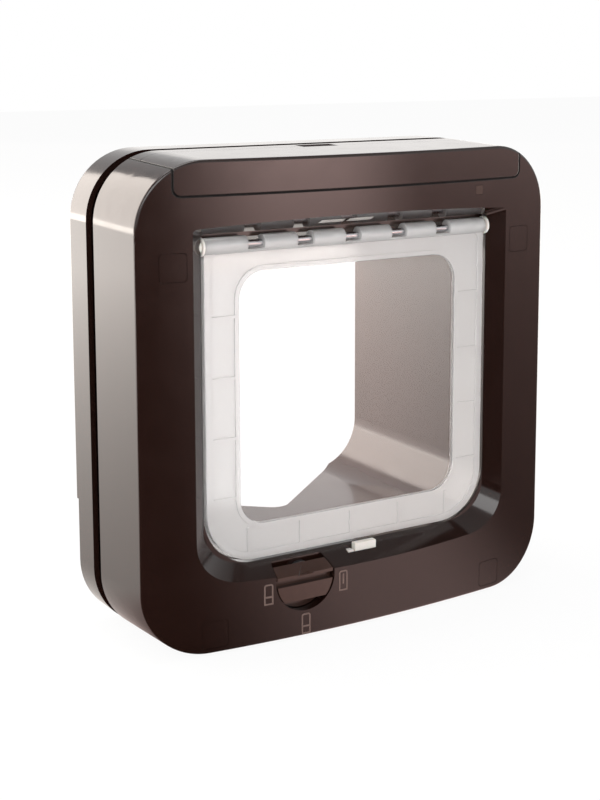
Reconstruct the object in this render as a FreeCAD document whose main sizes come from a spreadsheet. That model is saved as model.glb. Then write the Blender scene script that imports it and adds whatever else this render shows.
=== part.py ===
import FreeCAD, Part
import math
import os
import Sketcher
from FreeCAD import Placement, Rotation, Vector

# A battery cat flap for a door: indoor housing, swinging clear flap, tunnel and outdoor frame.
# Lengths are millimetres. +X is to the right seen from indoors, +Y goes outdoors, +Z is up.
# Depths are counted from the crown, the foremost line of the bowed front face, towards outdoors.

doc = FreeCAD.newDocument("CatFlap")
sheet = doc.addObject("Spreadsheet::Sheet", "Sizes")
nodes = {}


class Size:
    """A length with its number now and its formula in the sheet."""

    def __init__(self, number, formula):
        self.number = number
        self.formula = formula

    def __add__(self, other):
        other = as_size(other)
        return Size(self.number + other.number, f"({self.formula} + {other.formula})")

    def __sub__(self, other):
        other = as_size(other)
        return Size(self.number - other.number, f"({self.formula} - {other.formula})")

    def __mul__(self, other):
        other = as_size(other)
        return Size(self.number * other.number, f"({self.formula} * {other.formula})")

    def __truediv__(self, other):
        other = as_size(other)
        return Size(self.number / other.number, f"({self.formula} / {other.formula})")

    def __neg__(self):
        return Size(-self.number, f"(-1 * {self.formula})")

    def __radd__(self, other):
        return as_size(other) + self

    def __rsub__(self, other):
        return as_size(other) - self

    def __rmul__(self, other):
        return as_size(other) * self


def as_size(value):
    if isinstance(value, Size):
        return value
    return Size(float(value), repr(float(value)))


def root(value):
    return Size(math.sqrt(value.number), f"sqrt({value.formula})")


def cell(alias, number):
    """Writes one driving dimension in the sheet."""
    cell.row += 1
    sheet.set(f"A{cell.row}", alias)
    sheet.set(f"B{cell.row}", str(number))
    sheet.setAlias(f"B{cell.row}", alias)
    return Size(float(number), f"Sizes.{alias}")


cell.row = 0

# The outline of both frames, the shell's walls and the door between them.
frame_side = cell("frame_side", 210)
corner_radius = cell("corner_radius", 29.5)
housing_depth = cell("housing_depth", 46.5)
side_draft = cell("side_draft", 1.54)
bow_radius = cell("bow_radius", 617)
wall = cell("wall", 2.5)
edge_round = cell("edge_round", 1.2)
door_gap = cell("door_gap", 7.5)
outdoor_depth = cell("outdoor_depth", 15)
tunnel_reach = cell("tunnel_reach", 75)
running_gap = cell("running_gap", 0.3)
seam_gap = cell("seam_gap", 0.2)

# The opening, the funnel that leads to it and the collar behind the funnel.
side_margin = cell("side_margin", 31.7)
opening_foot = cell("opening_foot", 35.2)
top_margin = cell("top_margin", 32.2)
opening_corner = cell("opening_corner", 24.3)
upper_corner = cell("upper_corner", 2.5)
flare_side = cell("flare_side", 12.3)
flare_foot = cell("flare_foot", 6.5)
flare_top = cell("flare_top", 5.4)
flap_depth = cell("flap_depth", 11.4)
collar_end = cell("collar_end", 16.4)
funnel_wall = cell("funnel_wall", 2.8)
collar_ease = cell("collar_ease", 0.25)

# The flap's hinge: rod, bushes and the bosses round them.
pivot_drop = cell("pivot_drop", 5.3)
rod_radius = cell("rod_radius", 1.5)
rod_play = cell("rod_play", 0.02)
rod_end_gap = cell("rod_end_gap", 0.5)
pivot_play = cell("pivot_play", 0.05)
bush_wall = cell("bush_wall", 1)
bush_reach = cell("bush_reach", 5)
flange_radius = cell("flange_radius", 4)
flange_thickness = cell("flange_thickness", 1)

# The battery cover, the thumb notch behind it and its two tongues.
cover_inset = cell("cover_inset", 16.9)
cover_drop = cell("cover_drop", 15.7)
cover_depth = cell("cover_depth", 38)
cover_corner = cell("cover_corner", 3.5)
thumb_half = cell("thumb_half", 9)
thumb_radius = cell("thumb_radius", 6)
thumb_dip = cell("thumb_dip", 1.8)
thumb_pad = cell("thumb_pad", 4.5)
thumb_set_back = cell("thumb_set_back", 2)
thumb_rim = cell("thumb_rim", 2)
thumb_reach = cell("thumb_reach", 4)
thumb_skin = cell("thumb_skin", 1.5)
tongue_x = cell("tongue_x", 40)
tongue_half = cell("tongue_half", 5)
tongue_reach = cell("tongue_reach", 4)
tongue_thickness = cell("tongue_thickness", 1.5)
tongue_root = cell("tongue_root", 3)

# The long screws that clamp the door, with their bosses and the caps over their heads.
upper_screw_inset = cell("upper_screw_inset", 16.6)
upper_screw_drop = cell("upper_screw_drop", 44.2)
lower_screw_inset = cell("lower_screw_inset", 32.7)
lower_screw_rise = cell("lower_screw_rise", 9.2)
screw_radius = cell("screw_radius", 2)
screw_play = cell("screw_play", 0.3)
screw_head_radius = cell("screw_head_radius", 3.6)
screw_head_gap = cell("screw_head_gap", 2.6)
screw_head_height = cell("screw_head_height", 3)
screw_length = cell("screw_length", 48)
boss_wall = cell("boss_wall", 1.4)
cap_side = cell("cap_side", 11.5)
cap_thickness = cell("cap_thickness", 2)
cap_corner = cell("cap_corner", 1.6)
cap_back_gap = cell("cap_back_gap", 0.1)
slot_breadth = cell("slot_breadth", 0.9)
slot_depth = cell("slot_depth", 0.8)
slot_share = cell("slot_share", 0.65)

# The posts behind the face and the small screws that hold the back plate on them.
plate_front = cell("plate_front", 42.5)
plate_thickness = cell("plate_thickness", 2.5)
plate_gap = cell("plate_gap", 0.4)
post_radius = cell("post_radius", 3.6)
post_screw_radius = cell("post_screw_radius", 1.45)
small_screw_play = cell("small_screw_play", 0.15)
post_bore_radius = cell("post_bore_radius", 1.5)
post_screw_start = cell("post_screw_start", 33)
post_side_inset = cell("post_side_inset", 12)
post_low_z = cell("post_low_z", 52)
post_high_z = cell("post_high_z", 122)
post_foot_inset = cell("post_foot_inset", 51)
post_foot_z = cell("post_foot_z", 9.4)
small_head_radius = cell("small_head_radius", 3)
small_head_height = cell("small_head_height", 1.3)

# The lock dial, its well, its spindle and the cam on its back.
dial_x = cell("dial_x", 29.9)
dial_z = cell("dial_z", 26.9)
dial_radius = cell("dial_radius", 14)
dial_play = cell("dial_play", 0.35)
dial_set_back = cell("dial_set_back", 0.9)
dial_face_end = cell("dial_face_end", 6.6)
dial_back = cell("dial_back", 9)
well_wall = cell("well_wall", 2)
spindle_radius = cell("spindle_radius", 2.2)
spindle_play = cell("spindle_play", 0.08)
spindle_end = cell("spindle_end", 11.4)
dial_screw_radius = cell("dial_screw_radius", 1.1)
dial_screw_reach = cell("dial_screw_reach", 4.5)
dial_washer_radius = cell("dial_washer_radius", 3.1)
dial_washer_height = cell("dial_washer_height", 1.5)
groove_high = cell("groove_high", 0.75)
groove_low = cell("groove_low", 2.25)
groove_depth = cell("groove_depth", 2.7)
scoop_drop = cell("scoop_drop", 9.5)
scoop_depth = cell("scoop_depth", 4.6)
sill_drop = cell("sill_drop", 0.15)
arrow_half = cell("arrow_half", 4)
arrow_foot = cell("arrow_foot", 28.6)
arrow_tip = cell("arrow_tip", 31.4)
arrow_line = cell("arrow_line", 0.6)
arrow_raise = cell("arrow_raise", 0.3)
cam_radius = cell("cam_radius", 9)
fork_lift = cell("fork_lift", 5.2)

# The fork that the dial lifts, and its spring.
pin_radius = cell("pin_radius", 1)
pin_front_gap = cell("pin_front_gap", 0.4)
fork_end_x = cell("fork_end_x", 33)
fork_bar_foot = cell("fork_bar_foot", 14.4)
fork_bar_height = cell("fork_bar_height", 3.4)
fork_bar_gap = cell("fork_bar_gap", 0.4)
fork_link_far = cell("fork_link_far", 10)
prong_inner = cell("prong_inner", 1.6)
prong_outer = cell("prong_outer", 4.3)
prong_drop = cell("prong_drop", 2.3)
prong_depth = cell("prong_depth", 17.2)
prong_thickness = cell("prong_thickness", 3)
rear_prong_near = cell("rear_prong_near", 7.4)
rear_prong_far = cell("rear_prong_far", 13.2)
rear_prong_drop = cell("rear_prong_drop", 0.2)
spring_x = cell("spring_x", 24)
spring_depth = cell("spring_depth", 13.2)
spring_seat = cell("spring_seat", 4.6)
spring_mean_radius = cell("spring_mean_radius", 1.35)
spring_wire_radius = cell("spring_wire_radius", 0.25)
spring_stand_rim = cell("spring_stand_rim", 0.7)
spring_peg_play = cell("spring_peg_play", 0.3)
spring_peg_height = cell("spring_peg_height", 2)

# The latch with its rack, the pinion and the motor.
latch_near = cell("latch_near", 0.7)
latch_far = cell("latch_far", 10.2)
latch_front = cell("latch_front", 6.5)
latch_thickness = cell("latch_thickness", 3)
latch_foot = cell("latch_foot", 12)
latch_proud = cell("latch_proud", 0.4)
slot_play = cell("slot_play", 0.4)
sill_slot_depth = cell("sill_slot_depth", 12)
rack_near = cell("rack_near", 2)
rack_far = cell("rack_far", 7.5)
gear_module = cell("gear_module", 0.8)
gear_teeth = 10
rack_teeth = 4
mesh_play = cell("mesh_play", 0.12)
pinion_z = cell("pinion_z", 20)
pinion_shaft_radius = cell("pinion_shaft_radius", 1)
shaft_play = cell("shaft_play", 0.1)
motor_start = cell("motor_start", 14.4)
motor_end = cell("motor_end", 38.2)
motor_half = cell("motor_half", 5)
motor_foot = cell("motor_foot", 14)
motor_height = cell("motor_height", 12)

# The guide that holds the latch, the fork and the motor.
guide_left = cell("guide_left", 9.6)
guide_right = cell("guide_right", 14)
guide_front = cell("guide_front", 4.2)
guide_back = cell("guide_back", 12)
guide_foot = cell("guide_foot", 5)
guide_top = cell("guide_top", 27)
guide_play = cell("guide_play", 0.3)
guide_floor = cell("guide_floor", 2)
guide_boss_radius = cell("guide_boss_radius", 3)
guide_ear_left = cell("guide_ear_left", 13.5)
guide_ear_right = cell("guide_ear_right", 42)
guide_ear_z = cell("guide_ear_z", 8.5)
guide_screw_radius = cell("guide_screw_radius", 1.2)
guide_screw_reach = cell("guide_screw_reach", 1.5)
guide_bore_reach = cell("guide_bore_reach", 2)
guide_head_radius = cell("guide_head_radius", 2.4)
guide_head_height = cell("guide_head_height", 1.2)
shelf_gap = cell("shelf_gap", 0.1)
shelf_thickness = cell("shelf_thickness", 2.4)
ear_half = cell("ear_half", 3)
ear_thickness = cell("ear_thickness", 2)

# The sensor's windows and the indicator light.
window_length = cell("window_length", 12.4)
window_breadth = cell("window_breadth", 3.4)
window_gap = cell("window_gap", 1.8)
window_middle = cell("window_middle", 6)
window_depth = cell("window_depth", 6.2)
window_reach = cell("window_reach", 5)
lamp_inset = cell("lamp_inset", 42)
lamp_drop = cell("lamp_drop", 20.2)
lamp_side = cell("lamp_side", 4.2)
lamp_length = cell("lamp_length", 2.8)

# The flap: its sheet, rim, window, ribs and hinge tube.
flap_thickness = cell("flap_thickness", 3)
flap_side_gap = cell("flap_side_gap", 1.5)
flap_edge_gap = cell("flap_edge_gap", 0.9)
flap_corner = cell("flap_corner", 23)
rim_width = cell("rim_width", 3.2)
rim_step = cell("rim_step", 0.5)
border_side = cell("border_side", 16)
border_foot = cell("border_foot", 15.3)
border_top = cell("border_top", 11.5)
window_round = cell("window_round", 12)
lip_width = cell("lip_width", 2)
rib_pitch = cell("rib_pitch", 26)
rib_width = cell("rib_width", 1.2)
side_ribs = 4
foot_ribs = 5
knuckle_radius = cell("knuckle_radius", 3.6)
notch_width = cell("notch_width", 8)
notch_pitch = cell("notch_pitch", 24)
notch_floor = cell("notch_floor", 0.5)
notches = 5

# The tunnel and the way out of it.
tunnel_wall = cell("tunnel_wall", 2.5)
tunnel_gap = cell("tunnel_gap", 0.2)
ceiling_drop = cell("ceiling_drop", 2.8)
ceiling_bend_depth = cell("ceiling_bend_depth", 39)
ceiling_fall = cell("ceiling_fall", 11)
ceiling_slope_fall = cell("ceiling_slope_fall", 20.8)
floor_cut_depth = cell("floor_cut_depth", 71)
floor_cut_half = cell("floor_cut_half", 57)
floor_cut_rise = cell("floor_cut_rise", 8)
floor_cut_round = cell("floor_cut_round", 8)

# The outdoor frame, its hood and the inserts that the long screws turn into.
hood_foot = cell("hood_foot", 57)
hood_step = cell("hood_step", 3)
rear_round = cell("rear_round", 1.6)
outer_gap = cell("outer_gap", 0.6)
outer_drop = cell("outer_drop", 14.2)
collar_wall = cell("collar_wall", 2.2)
insert_radius = cell("insert_radius", 3)
insert_length = cell("insert_length", 9)
insert_boss_radius = cell("insert_boss_radius", 5.4)
thread_play = cell("thread_play", 0.05)

# The seal against the door and the aerial round the tunnel.
seal_rim = cell("seal_rim", 0.3)
seal_width = cell("seal_width", 2.4)
seal_thickness = cell("seal_thickness", 2.2)
coil_start = cell("coil_start", 24)
coil_length = cell("coil_length", 7)
coil_thickness = cell("coil_thickness", 3)
coil_gap = cell("coil_gap", 0.3)
coil_corner = cell("coil_corner", 4)

# The battery tray, its cells and their contacts.
tray_drop = cell("tray_drop", 23.5)
tray_thickness = cell("tray_thickness", 1.6)
tray_front = cell("tray_front", 9.3)
tray_wall = cell("tray_wall", 1.5)
tray_wall_height = cell("tray_wall_height", 16.5)
tray_inset = cell("tray_inset", 19.8)
tray_foot_inset = cell("tray_foot_inset", 11.3)
tray_foot_half = cell("tray_foot_half", 2)
tray_foot_gap = cell("tray_foot_gap", 0.6)
rear_gap = cell("rear_gap", 0.75)
cell_start_gap = cell("cell_start_gap", 2)
cell_end_gap = cell("cell_end_gap", 2.7)
cell_radius = cell("cell_radius", 7.25)
cell_length = cell("cell_length", 50.5)
cell_gap = cell("cell_gap", 0.25)
cell_front = cell("cell_front", 16.2)
nub_radius = cell("nub_radius", 2.7)
nub_length = cell("nub_length", 1.3)
contact_side = cell("contact_side", 9)
contact_sheet = cell("contact_sheet", 0.5)
contact_bump = cell("contact_bump", 1.6)
coil_mean = cell("coil_mean", 3)
coil_wire = cell("coil_wire", 0.3)
coil_bar_half = cell("coil_bar_half", 0.24)

# The deck over the board, the board with its chip and switch, and the button.
deck_rise = cell("deck_rise", 9.5)
deck_thickness = cell("deck_thickness", 1.5)
button_x = cell("button_x", 0)
button_depth = cell("button_depth", 20)
button_radius = cell("button_radius", 4)
button_play = cell("button_play", 0.2)
button_flange = cell("button_flange", 1.2)
button_reach = cell("button_reach", 2.4)
button_proud = cell("button_proud", 4)
board_margin = cell("board_margin", 3)
board_front = cell("board_front", 10.5)
board_back = cell("board_back", 36)
board_gap = cell("board_gap", 0.2)
board_thickness = cell("board_thickness", 1.6)
chip_side = cell("chip_side", 8)
chip_height = cell("chip_height", 1.2)
chip_gap = cell("chip_gap", 1)
switch_side = cell("switch_side", 6)
switch_height = cell("switch_height", 2)
plunger_radius = cell("plunger_radius", 1.5)
plunger_height = cell("plunger_height", 2.4)

# The raised signs beside the dial.
mark_raise = cell("mark_raise", 0.15)
mark_line = cell("mark_line", 0.7)
mark_bar = cell("mark_bar", 0.8)
mark_round = cell("mark_round", 1.2)
mark_height = cell("mark_height", 9.2)
mark_breadth = cell("mark_breadth", 4.4)
mark_left = cell("mark_left", 17.9)
mark_right = cell("mark_right", 18.7)
mark_side_z = cell("mark_side_z", 18)
mark_foot_z = cell("mark_foot_z", 2)

# The motor's lead.
lead_radius = cell("lead_radius", 1)
lead_bend = cell("lead_bend", 6)
lead_inset = cell("lead_inset", 5.6)
lead_depth = cell("lead_depth", 36.5)
lead_low = cell("lead_low", 23)
lead_drop = cell("lead_drop", 4.5)
lead_run = cell("lead_run", 14)
lead_margin = cell("lead_margin", 4)
lead_play = cell("lead_play", 0.5)

frame_half = frame_side / 2
tunnel_end = housing_depth + tunnel_reach
crown_place = -tunnel_end / 2

# Places that follow the frame and the opening.
opening_half = frame_half - side_margin
opening_top = frame_side - top_margin
mouth_half = opening_half + flare_side
mouth_foot = opening_foot - flare_foot
mouth_top = opening_top + flare_top
pivot_height = opening_top - pivot_drop
cover_half = frame_half - cover_inset
cover_foot = frame_side - cover_drop
upper_screw_x = frame_half - upper_screw_inset
upper_screw_z = frame_side - upper_screw_drop
lower_screw_x = frame_half - lower_screw_inset
lower_screw_z = lower_screw_rise
post_side_x = frame_half - post_side_inset
post_foot_x = frame_half - post_foot_inset
lamp_x = frame_half - lamp_inset
lamp_z = frame_side - lamp_drop
ceiling_start = opening_top - ceiling_drop
ceiling_bend = ceiling_start - ceiling_fall
ceiling_end = ceiling_bend - ceiling_slope_fall
outer_top = opening_top - outer_drop
prong_top = opening_foot - prong_drop
rear_prong_top = opening_foot - rear_prong_drop
latch_top = opening_foot + latch_proud
tray_floor = frame_side - tray_drop
tray_top = tray_floor + tray_thickness
tray_wall_top = tray_floor + tray_wall_height
tray_half = frame_half - tray_inset
tray_outer = tray_half - tray_wall
cell_end = tray_outer - cell_end_gap
cell_start = cell_end - cell_length
tray_inner = cell_start - cell_start_gap
cell_height = tray_top + cell_gap + cell_radius
cell_back = cell_front + cell_radius * 2 + running_gap
tray_back = cell_back + cell_radius + rear_gap + tray_wall
tray_foot_x = opening_half - tray_foot_inset
deck_foot = tray_floor + deck_rise
button_foot = deck_foot - button_reach
button_top = deck_foot + button_proud
board_half = tray_inner - tray_wall - board_margin
board_foot = tray_top + board_gap
lead_inner = board_half - lead_margin
lead_side = frame_half - lead_inset
lead_high = tray_floor - lead_drop

# Cutting tools run past the solid that they cut by PAST, and joined solids into each other by LAP.
PAST = 3.0
LAP = 1.0
TOUCH = 0.001
PLANES = {"front": "XZ_Plane", "side": "YZ_Plane", "plan": "XY_Plane"}


def at_depth(depth):
    """The Y of a depth behind the crown."""
    return as_size(depth) + crown_place


def bow_at(x):
    """Depth of the bowed face at a distance from its middle."""
    return bow_radius - root(bow_radius * bow_radius - as_size(x) * x)


def bind(thing, prop, value):
    thing.setExpression(prop, as_size(value).formula)


def place(thing, x, depth, z, turn=Rotation()):
    thing.Placement = Placement(Vector(), turn)
    bind(thing, "Placement.Base.x", x)
    bind(thing, "Placement.Base.y", at_depth(depth))
    bind(thing, "Placement.Base.z", z)


def block(name, x, depth, z):
    """A box between pairs of X, depth and Z."""
    box = doc.addObject("Part::Box", name)
    bind(box, "Length", as_size(x[1]) - x[0])
    bind(box, "Width", as_size(depth[1]) - depth[0])
    bind(box, "Height", as_size(z[1]) - z[0])
    place(box, x[0], depth[0], z[0])
    return box


def rod(name, axis, radius, ends, across):
    """A cylinder along x, depth or z between two ends, at the two other coordinates."""
    cylinder = doc.addObject("Part::Cylinder", name)
    bind(cylinder, "Radius", radius)
    bind(cylinder, "Height", as_size(ends[1]) - ends[0])
    if axis == "x":
        place(cylinder, ends[0], across[0], across[1], Rotation(Vector(0, 1, 0), 90))
    elif axis == "depth":
        place(cylinder, across[0], ends[0], across[1], Rotation(Vector(1, 0, 0), -90))
    else:
        place(cylinder, across[0], across[1], ends[0])
    return cylinder


def on_plane(plane, point):
    """Sketch coordinates of (x, z), (depth, z) or (x, depth)."""
    first, second = point
    if plane == "side":
        return at_depth(first), as_size(second)
    if plane == "plan":
        return as_size(first), at_depth(second)
    return as_size(first), as_size(second)


def in_space(plane, point, along):
    """The place in space of a sketch point, with its third coordinate."""
    first, second = on_plane(plane, point)
    third = as_size(along)
    if plane == "side":
        return Vector(third.number, first.number, second.number)
    if plane == "plan":
        return Vector(first.number, second.number, third.number)
    return Vector(first.number, at_depth(third).number, second.number)


def draw(body, name, plane, points, along):
    """A closed sketch of straight lines, every corner held by two bound distances."""
    drawing = body.newObject("Sketcher::SketchObject", name)
    support = [item for item in body.Origin.OriginFeatures if item.Role == PLANES[plane]]
    drawing.AttachmentSupport = [(support[0], "")]
    drawing.MapMode = "FlatFace"
    lift = -at_depth(along) if plane == "front" else as_size(along)
    bind(drawing, "AttachmentOffset.Base.z", lift)
    corners = [on_plane(plane, point) for point in points]
    spots = [Vector(first.number, second.number, 0) for first, second in corners]
    count = len(spots)
    for index in range(count):
        drawing.addGeometry(Part.LineSegment(spots[index], spots[(index + 1) % count]), False)
    for index in range(count):
        drawing.addConstraint(Sketcher.Constraint("Coincident", index, 2, (index + 1) % count, 1))
    for index, corner in enumerate(corners):
        for kind, value in zip(("DistanceX", "DistanceY"), corner):
            held = Sketcher.Constraint(kind, -1, 1, index, 1, value.number)
            number = drawing.addConstraint(held)
            bind(drawing, f"Constraints[{number}]", value)
    return drawing


def round_corners(body, name, feature, plane, points, along, rounds):
    """Fillets the edges that rise from chosen corners of the first sketch."""
    for turn, (chosen, radius) in enumerate(rounds):
        doc.recompute()
        spots = [in_space(plane, points[index], along) for index in chosen]
        normal = {"front": Vector(0, 1, 0), "side": Vector(1, 0, 0), "plan": Vector(0, 0, 1)}[plane]
        names = []
        for number, edge in enumerate(feature.Shape.Edges, 1):
            ends = [edge.valueAt(edge.FirstParameter), edge.valueAt(edge.LastParameter)]
            rises = abs((ends[1] - ends[0]).dot(normal)) > TOUCH
            if rises and any(spot.distanceToPoint(end) < TOUCH for spot in spots for end in ends):
                names.append(f"Edge{number}")
        rounded = body.newObject("PartDesign::Fillet", f"{name}Round{turn}")
        rounded.Base = (feature, names)
        bind(rounded, "Radius", radius)
        feature = rounded
    doc.recompute()


def plate(name, plane, points, along, rounds=(), draft=None):
    """A pad of a straight-sided outline, with chosen corners rounded."""
    body = doc.addObject("PartDesign::Body", name)
    start = along[1] if plane == "front" else along[0]
    pad = body.newObject("PartDesign::Pad", f"{name}Pad")
    pad.Profile = draw(body, f"{name}Sketch", plane, points, start)
    bind(pad, "Length", as_size(along[1]) - along[0])
    if draft is not None:
        bind(pad, "TaperAngle", -draft)
    round_corners(body, name, pad, plane, points, start, rounds)
    return body


def oblong(half, foot, top):
    """Corners of an upright oblong about the middle, from lower left round to upper left."""
    return ((-half, foot), (half, foot), (half, top), (-half, top))


LOWER = (0, 1)
UPPER = (2, 3)
ALL_FOUR = (0, 1, 2, 3)


def fuse(name, parts):
    joined = doc.addObject("Part::MultiFuse", name)
    joined.Shapes = parts
    return joined


def cut(name, base, tools):
    carved = doc.addObject("Part::Cut", name)
    carved.Base = base
    carved.Tool = tools[0] if len(tools) == 1 else fuse(f"{name}Tools", tools)
    return carved


def common(name, first, second):
    shared = doc.addObject("Part::MultiCommon", name)
    shared.Shapes = [first, second]
    return shared


def soften(name, base, radius_of):
    """Rounds each edge for which the given rule names a radius."""
    doc.recompute()
    rounded = doc.addObject("Part::Fillet", name)
    rounded.Base = base
    sizes = [radius_of(edge) for edge in base.Shape.Edges]
    rounded.Edges = [(number, size.number, size.number) for number, size in enumerate(sizes, 1) if size]
    return rounded


def node(label, thing):
    """Keeps a finished piece under the name that a person would use."""
    thing.Label = label
    nodes[label] = thing
    return thing


# The outer form of the indoor housing: a drafted rounded square whose front is bowed in plan.


def housing_form(name, inset):
    """The housing's outer form, or the same form set in by a wall."""
    half = frame_half - inset
    corners = oblong(half, as_size(0) + inset, frame_side - inset)
    rounds = ((ALL_FOUR, corner_radius - inset),)
    slab = plate(f"{name}Slab", "front", corners, (0, housing_depth), rounds, side_draft)
    span = (-PAST, frame_side + PAST)
    bow = rod(f"{name}Bow", "z", bow_radius - inset, span, (0, bow_radius))
    return common(name, slab, bow)


def bow_edge(edge):
    """The rounding of an edge that lies on the bowed front of the outer form."""
    middle = at_depth(bow_radius).number
    span = edge.FirstParameter, edge.LastParameter
    spots = [edge.valueAt(span[0]), edge.valueAt(span[1]), edge.valueAt(sum(span) / 2)]
    gaps = [abs(math.hypot(spot.x, spot.y - middle) - bow_radius.number) for spot in spots]
    return edge_round if max(gaps) < TOUCH else None


housing_outside = soften("HousingOutside", housing_form("HousingForm", 0), bow_edge)
housing_inside = housing_form("HousingInside", wall)

# The opening that the flap hangs in, and the funnel that leads to it from the face.


def funnel_form(name, skin):
    """The funnel's inside, grown by a wall: a side outline crossed with a plan outline."""
    share = (flap_depth + PAST) / flap_depth
    far_half = opening_half + skin
    far_foot = opening_foot - skin
    far_top = opening_top + skin
    near_half = opening_half + (mouth_half - opening_half) * share + skin
    near_foot = opening_foot + (mouth_foot - opening_foot) * share - skin
    near_top = opening_top + (mouth_top - opening_top) * share + skin
    side = ((-PAST, near_foot), (flap_depth, far_foot), (flap_depth, far_top), (-PAST, near_top))
    plan = ((-near_half, -PAST), (near_half, -PAST), (far_half, flap_depth), (-far_half, flap_depth))
    wide = plate(f"{name}Side", "side", side, (-near_half - PAST, near_half + PAST))
    tall = plate(f"{name}Plan", "plan", plan, (near_foot - PAST, near_top + PAST))

    def corner_of(edge):
        ends = [edge.valueAt(edge.FirstParameter), edge.valueAt(edge.LastParameter)]
        if abs(ends[0].y - ends[1].y) < TOUCH:
            return None
        lower = ends[0].z < pivot_height.number / 2
        return (opening_corner if lower else upper_corner) + skin

    return soften(name, common(f"{name}Walls", wide, tall), corner_of)


def collar_form(name, skin, end):
    """The straight collar behind the funnel, a touch wider than the funnel's end."""
    grow = collar_ease + skin
    corners = oblong(opening_half + grow, opening_foot - grow, opening_top + grow)
    rounds = ((LOWER, opening_corner + grow), (UPPER, upper_corner + grow))
    return plate(name, "front", corners, (flap_depth, end), rounds)


funnel_void = funnel_form("FunnelVoid", as_size(0))
collar_void = collar_form("CollarVoid", as_size(0), collar_end + PAST)
funnel_skin = fuse("FunnelSkin", [funnel_form("FunnelOutside", funnel_wall),
                                  collar_form("CollarOutside", funnel_wall, collar_end)])
funnel_walls = common("FunnelWalls", funnel_skin, housing_outside)

# The flap's pivot, with a bush in a boss at each side of the opening.
pivot_depth = flap_depth + flap_thickness / 2
bush_radius = rod_radius + pivot_play + bush_wall
bush_end = opening_half + bush_reach


def mirrored(label, build):
    """Builds a left and a right piece, with the sign of X."""
    return [build(f"{label}{side}", sign) for side, sign in (("Left", -1), ("Right", 1))]


def spread(sign, near, far):
    """A pair of X values on one side, lowest first."""
    return (sign * far, sign * near) if sign < 0 else (as_size(near), as_size(far))


def pivot_boss(name, sign):
    reach = spread(sign, opening_half + LAP, bush_end + bush_wall)
    high = pivot_height + flange_radius + LAP
    low = pivot_height - flange_radius - LAP
    return block(name, reach, (pivot_depth - flange_radius, collar_end), (low, high))


def pivot_socket(name, sign):
    reach = spread(sign, opening_half - LAP, bush_end)
    return rod(name, "x", bush_radius, reach, (pivot_depth, pivot_height))


pivot_bosses = mirrored("PivotBoss", pivot_boss)
pivot_sockets = mirrored("PivotSocket", pivot_socket)

# The battery cover wraps over the top edge; the zone is where the shell belongs to it.


def cover_zone(name, ease):
    half = cover_half + ease
    foot = cover_foot - ease
    above = frame_side + PAST
    behind = cover_depth + ease
    face = plate(f"{name}Face", "front", oblong(half, foot, above), (-PAST, behind),
                 ((LOWER, cover_corner),))
    plan = ((-half, behind), (half, behind), (half, -PAST), (-half, -PAST))
    top = plate(f"{name}Top", "plan", plan, (foot - PAST, above + PAST), ((LOWER, cover_corner),))
    return common(name, face, top)


thumb_height = frame_side - thumb_dip + thumb_radius
thumb_dish = rod("ThumbDish", "x", thumb_radius, (-thumb_half, thumb_half),
                 (cover_depth + thumb_set_back, thumb_height))
thumb_floor = block("ThumbFloor", (-thumb_half - thumb_rim, thumb_half + thumb_rim),
                    (cover_depth - thumb_reach, cover_depth + thumb_reach),
                    (frame_side - thumb_skin - thumb_pad, frame_side - thumb_skin))
housing_hollow = cut("HousingHollow", housing_inside, [thumb_floor])
housing_shell = cut("HousingShell", housing_outside, [housing_hollow, thumb_dish])

# The long screws that clamp the door, their bosses and the square caps over their heads.
screw_head_depth = bow_at(upper_screw_x) + cap_thickness + screw_head_gap
screw_seat = screw_head_depth + screw_head_height
head_bore = screw_head_radius + screw_play
boss_radius = head_bore + boss_wall
screw_places = (("UpperLeft", -upper_screw_x, upper_screw_z), ("UpperRight", upper_screw_x, upper_screw_z),
                ("LowerLeft", -lower_screw_x, lower_screw_z), ("LowerRight", lower_screw_x, lower_screw_z))


def cap_prism(name, x, z, grow, back):
    """A square prism behind the face at a screw."""
    half = cap_side / 2 + grow
    corners = ((x - half, z - half), (x + half, z - half), (x + half, z + half), (x - half, z + half))
    return plate(name, "front", corners, (-PAST, back), ((ALL_FOUR, cap_corner),))


def screw_boss(name, x, z):
    """The solid round one long screw and behind its cap."""
    start = bow_at(x) + wall / 2
    tube = rod(f"{name}Tube", "depth", boss_radius, (start, plate_front), (x, z))
    half = cap_side / 2 + boss_wall
    pad = block(f"{name}Pad", (x - half, x + half), (start, start + cap_thickness + wall),
                (z - half, z + half))
    return common(name, fuse(f"{name}Solid", [tube, pad]), housing_outside)


def screw_bore(name, x, z):
    """The cap's seat, the head's bore and the shank's bore of one long screw."""
    back = bow_at(x) + cap_thickness
    seat = cap_prism(f"{name}Seat", x, z, seam_gap, back)
    head = rod(f"{name}Head", "depth", head_bore, (-PAST, screw_seat), (x, z))
    shank = rod(f"{name}Shank", "depth", screw_radius + screw_play,
                (screw_seat - LAP, housing_depth + PAST), (x, z))
    return fuse(name, [seat, head, shank])


screw_bosses = [screw_boss(f"Boss{name}", x, z) for name, x, z in screw_places]
screw_bores = [screw_bore(f"Bore{name}", x, z) for name, x, z in screw_places]

# Small screws hold the back plate on posts behind the face.
post_places = [(sign * post_side_x, height) for sign in (-1, 1) for height in (post_low_z, post_high_z)]
post_places += [(sign * post_foot_x, post_foot_z) for sign in (-1, 1)]
posts = []
post_bores = []
for number, (x, z) in enumerate(post_places):
    post_span = (bow_at(x) + wall / 2, plate_front)
    posts.append(rod(f"Post{number}", "depth", post_radius, post_span, (x, z)))
    bore_span = (post_screw_start - LAP, plate_front + PAST)
    post_bores.append(rod(f"PostBore{number}", "depth", post_bore_radius, bore_span, (x, z)))

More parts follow.
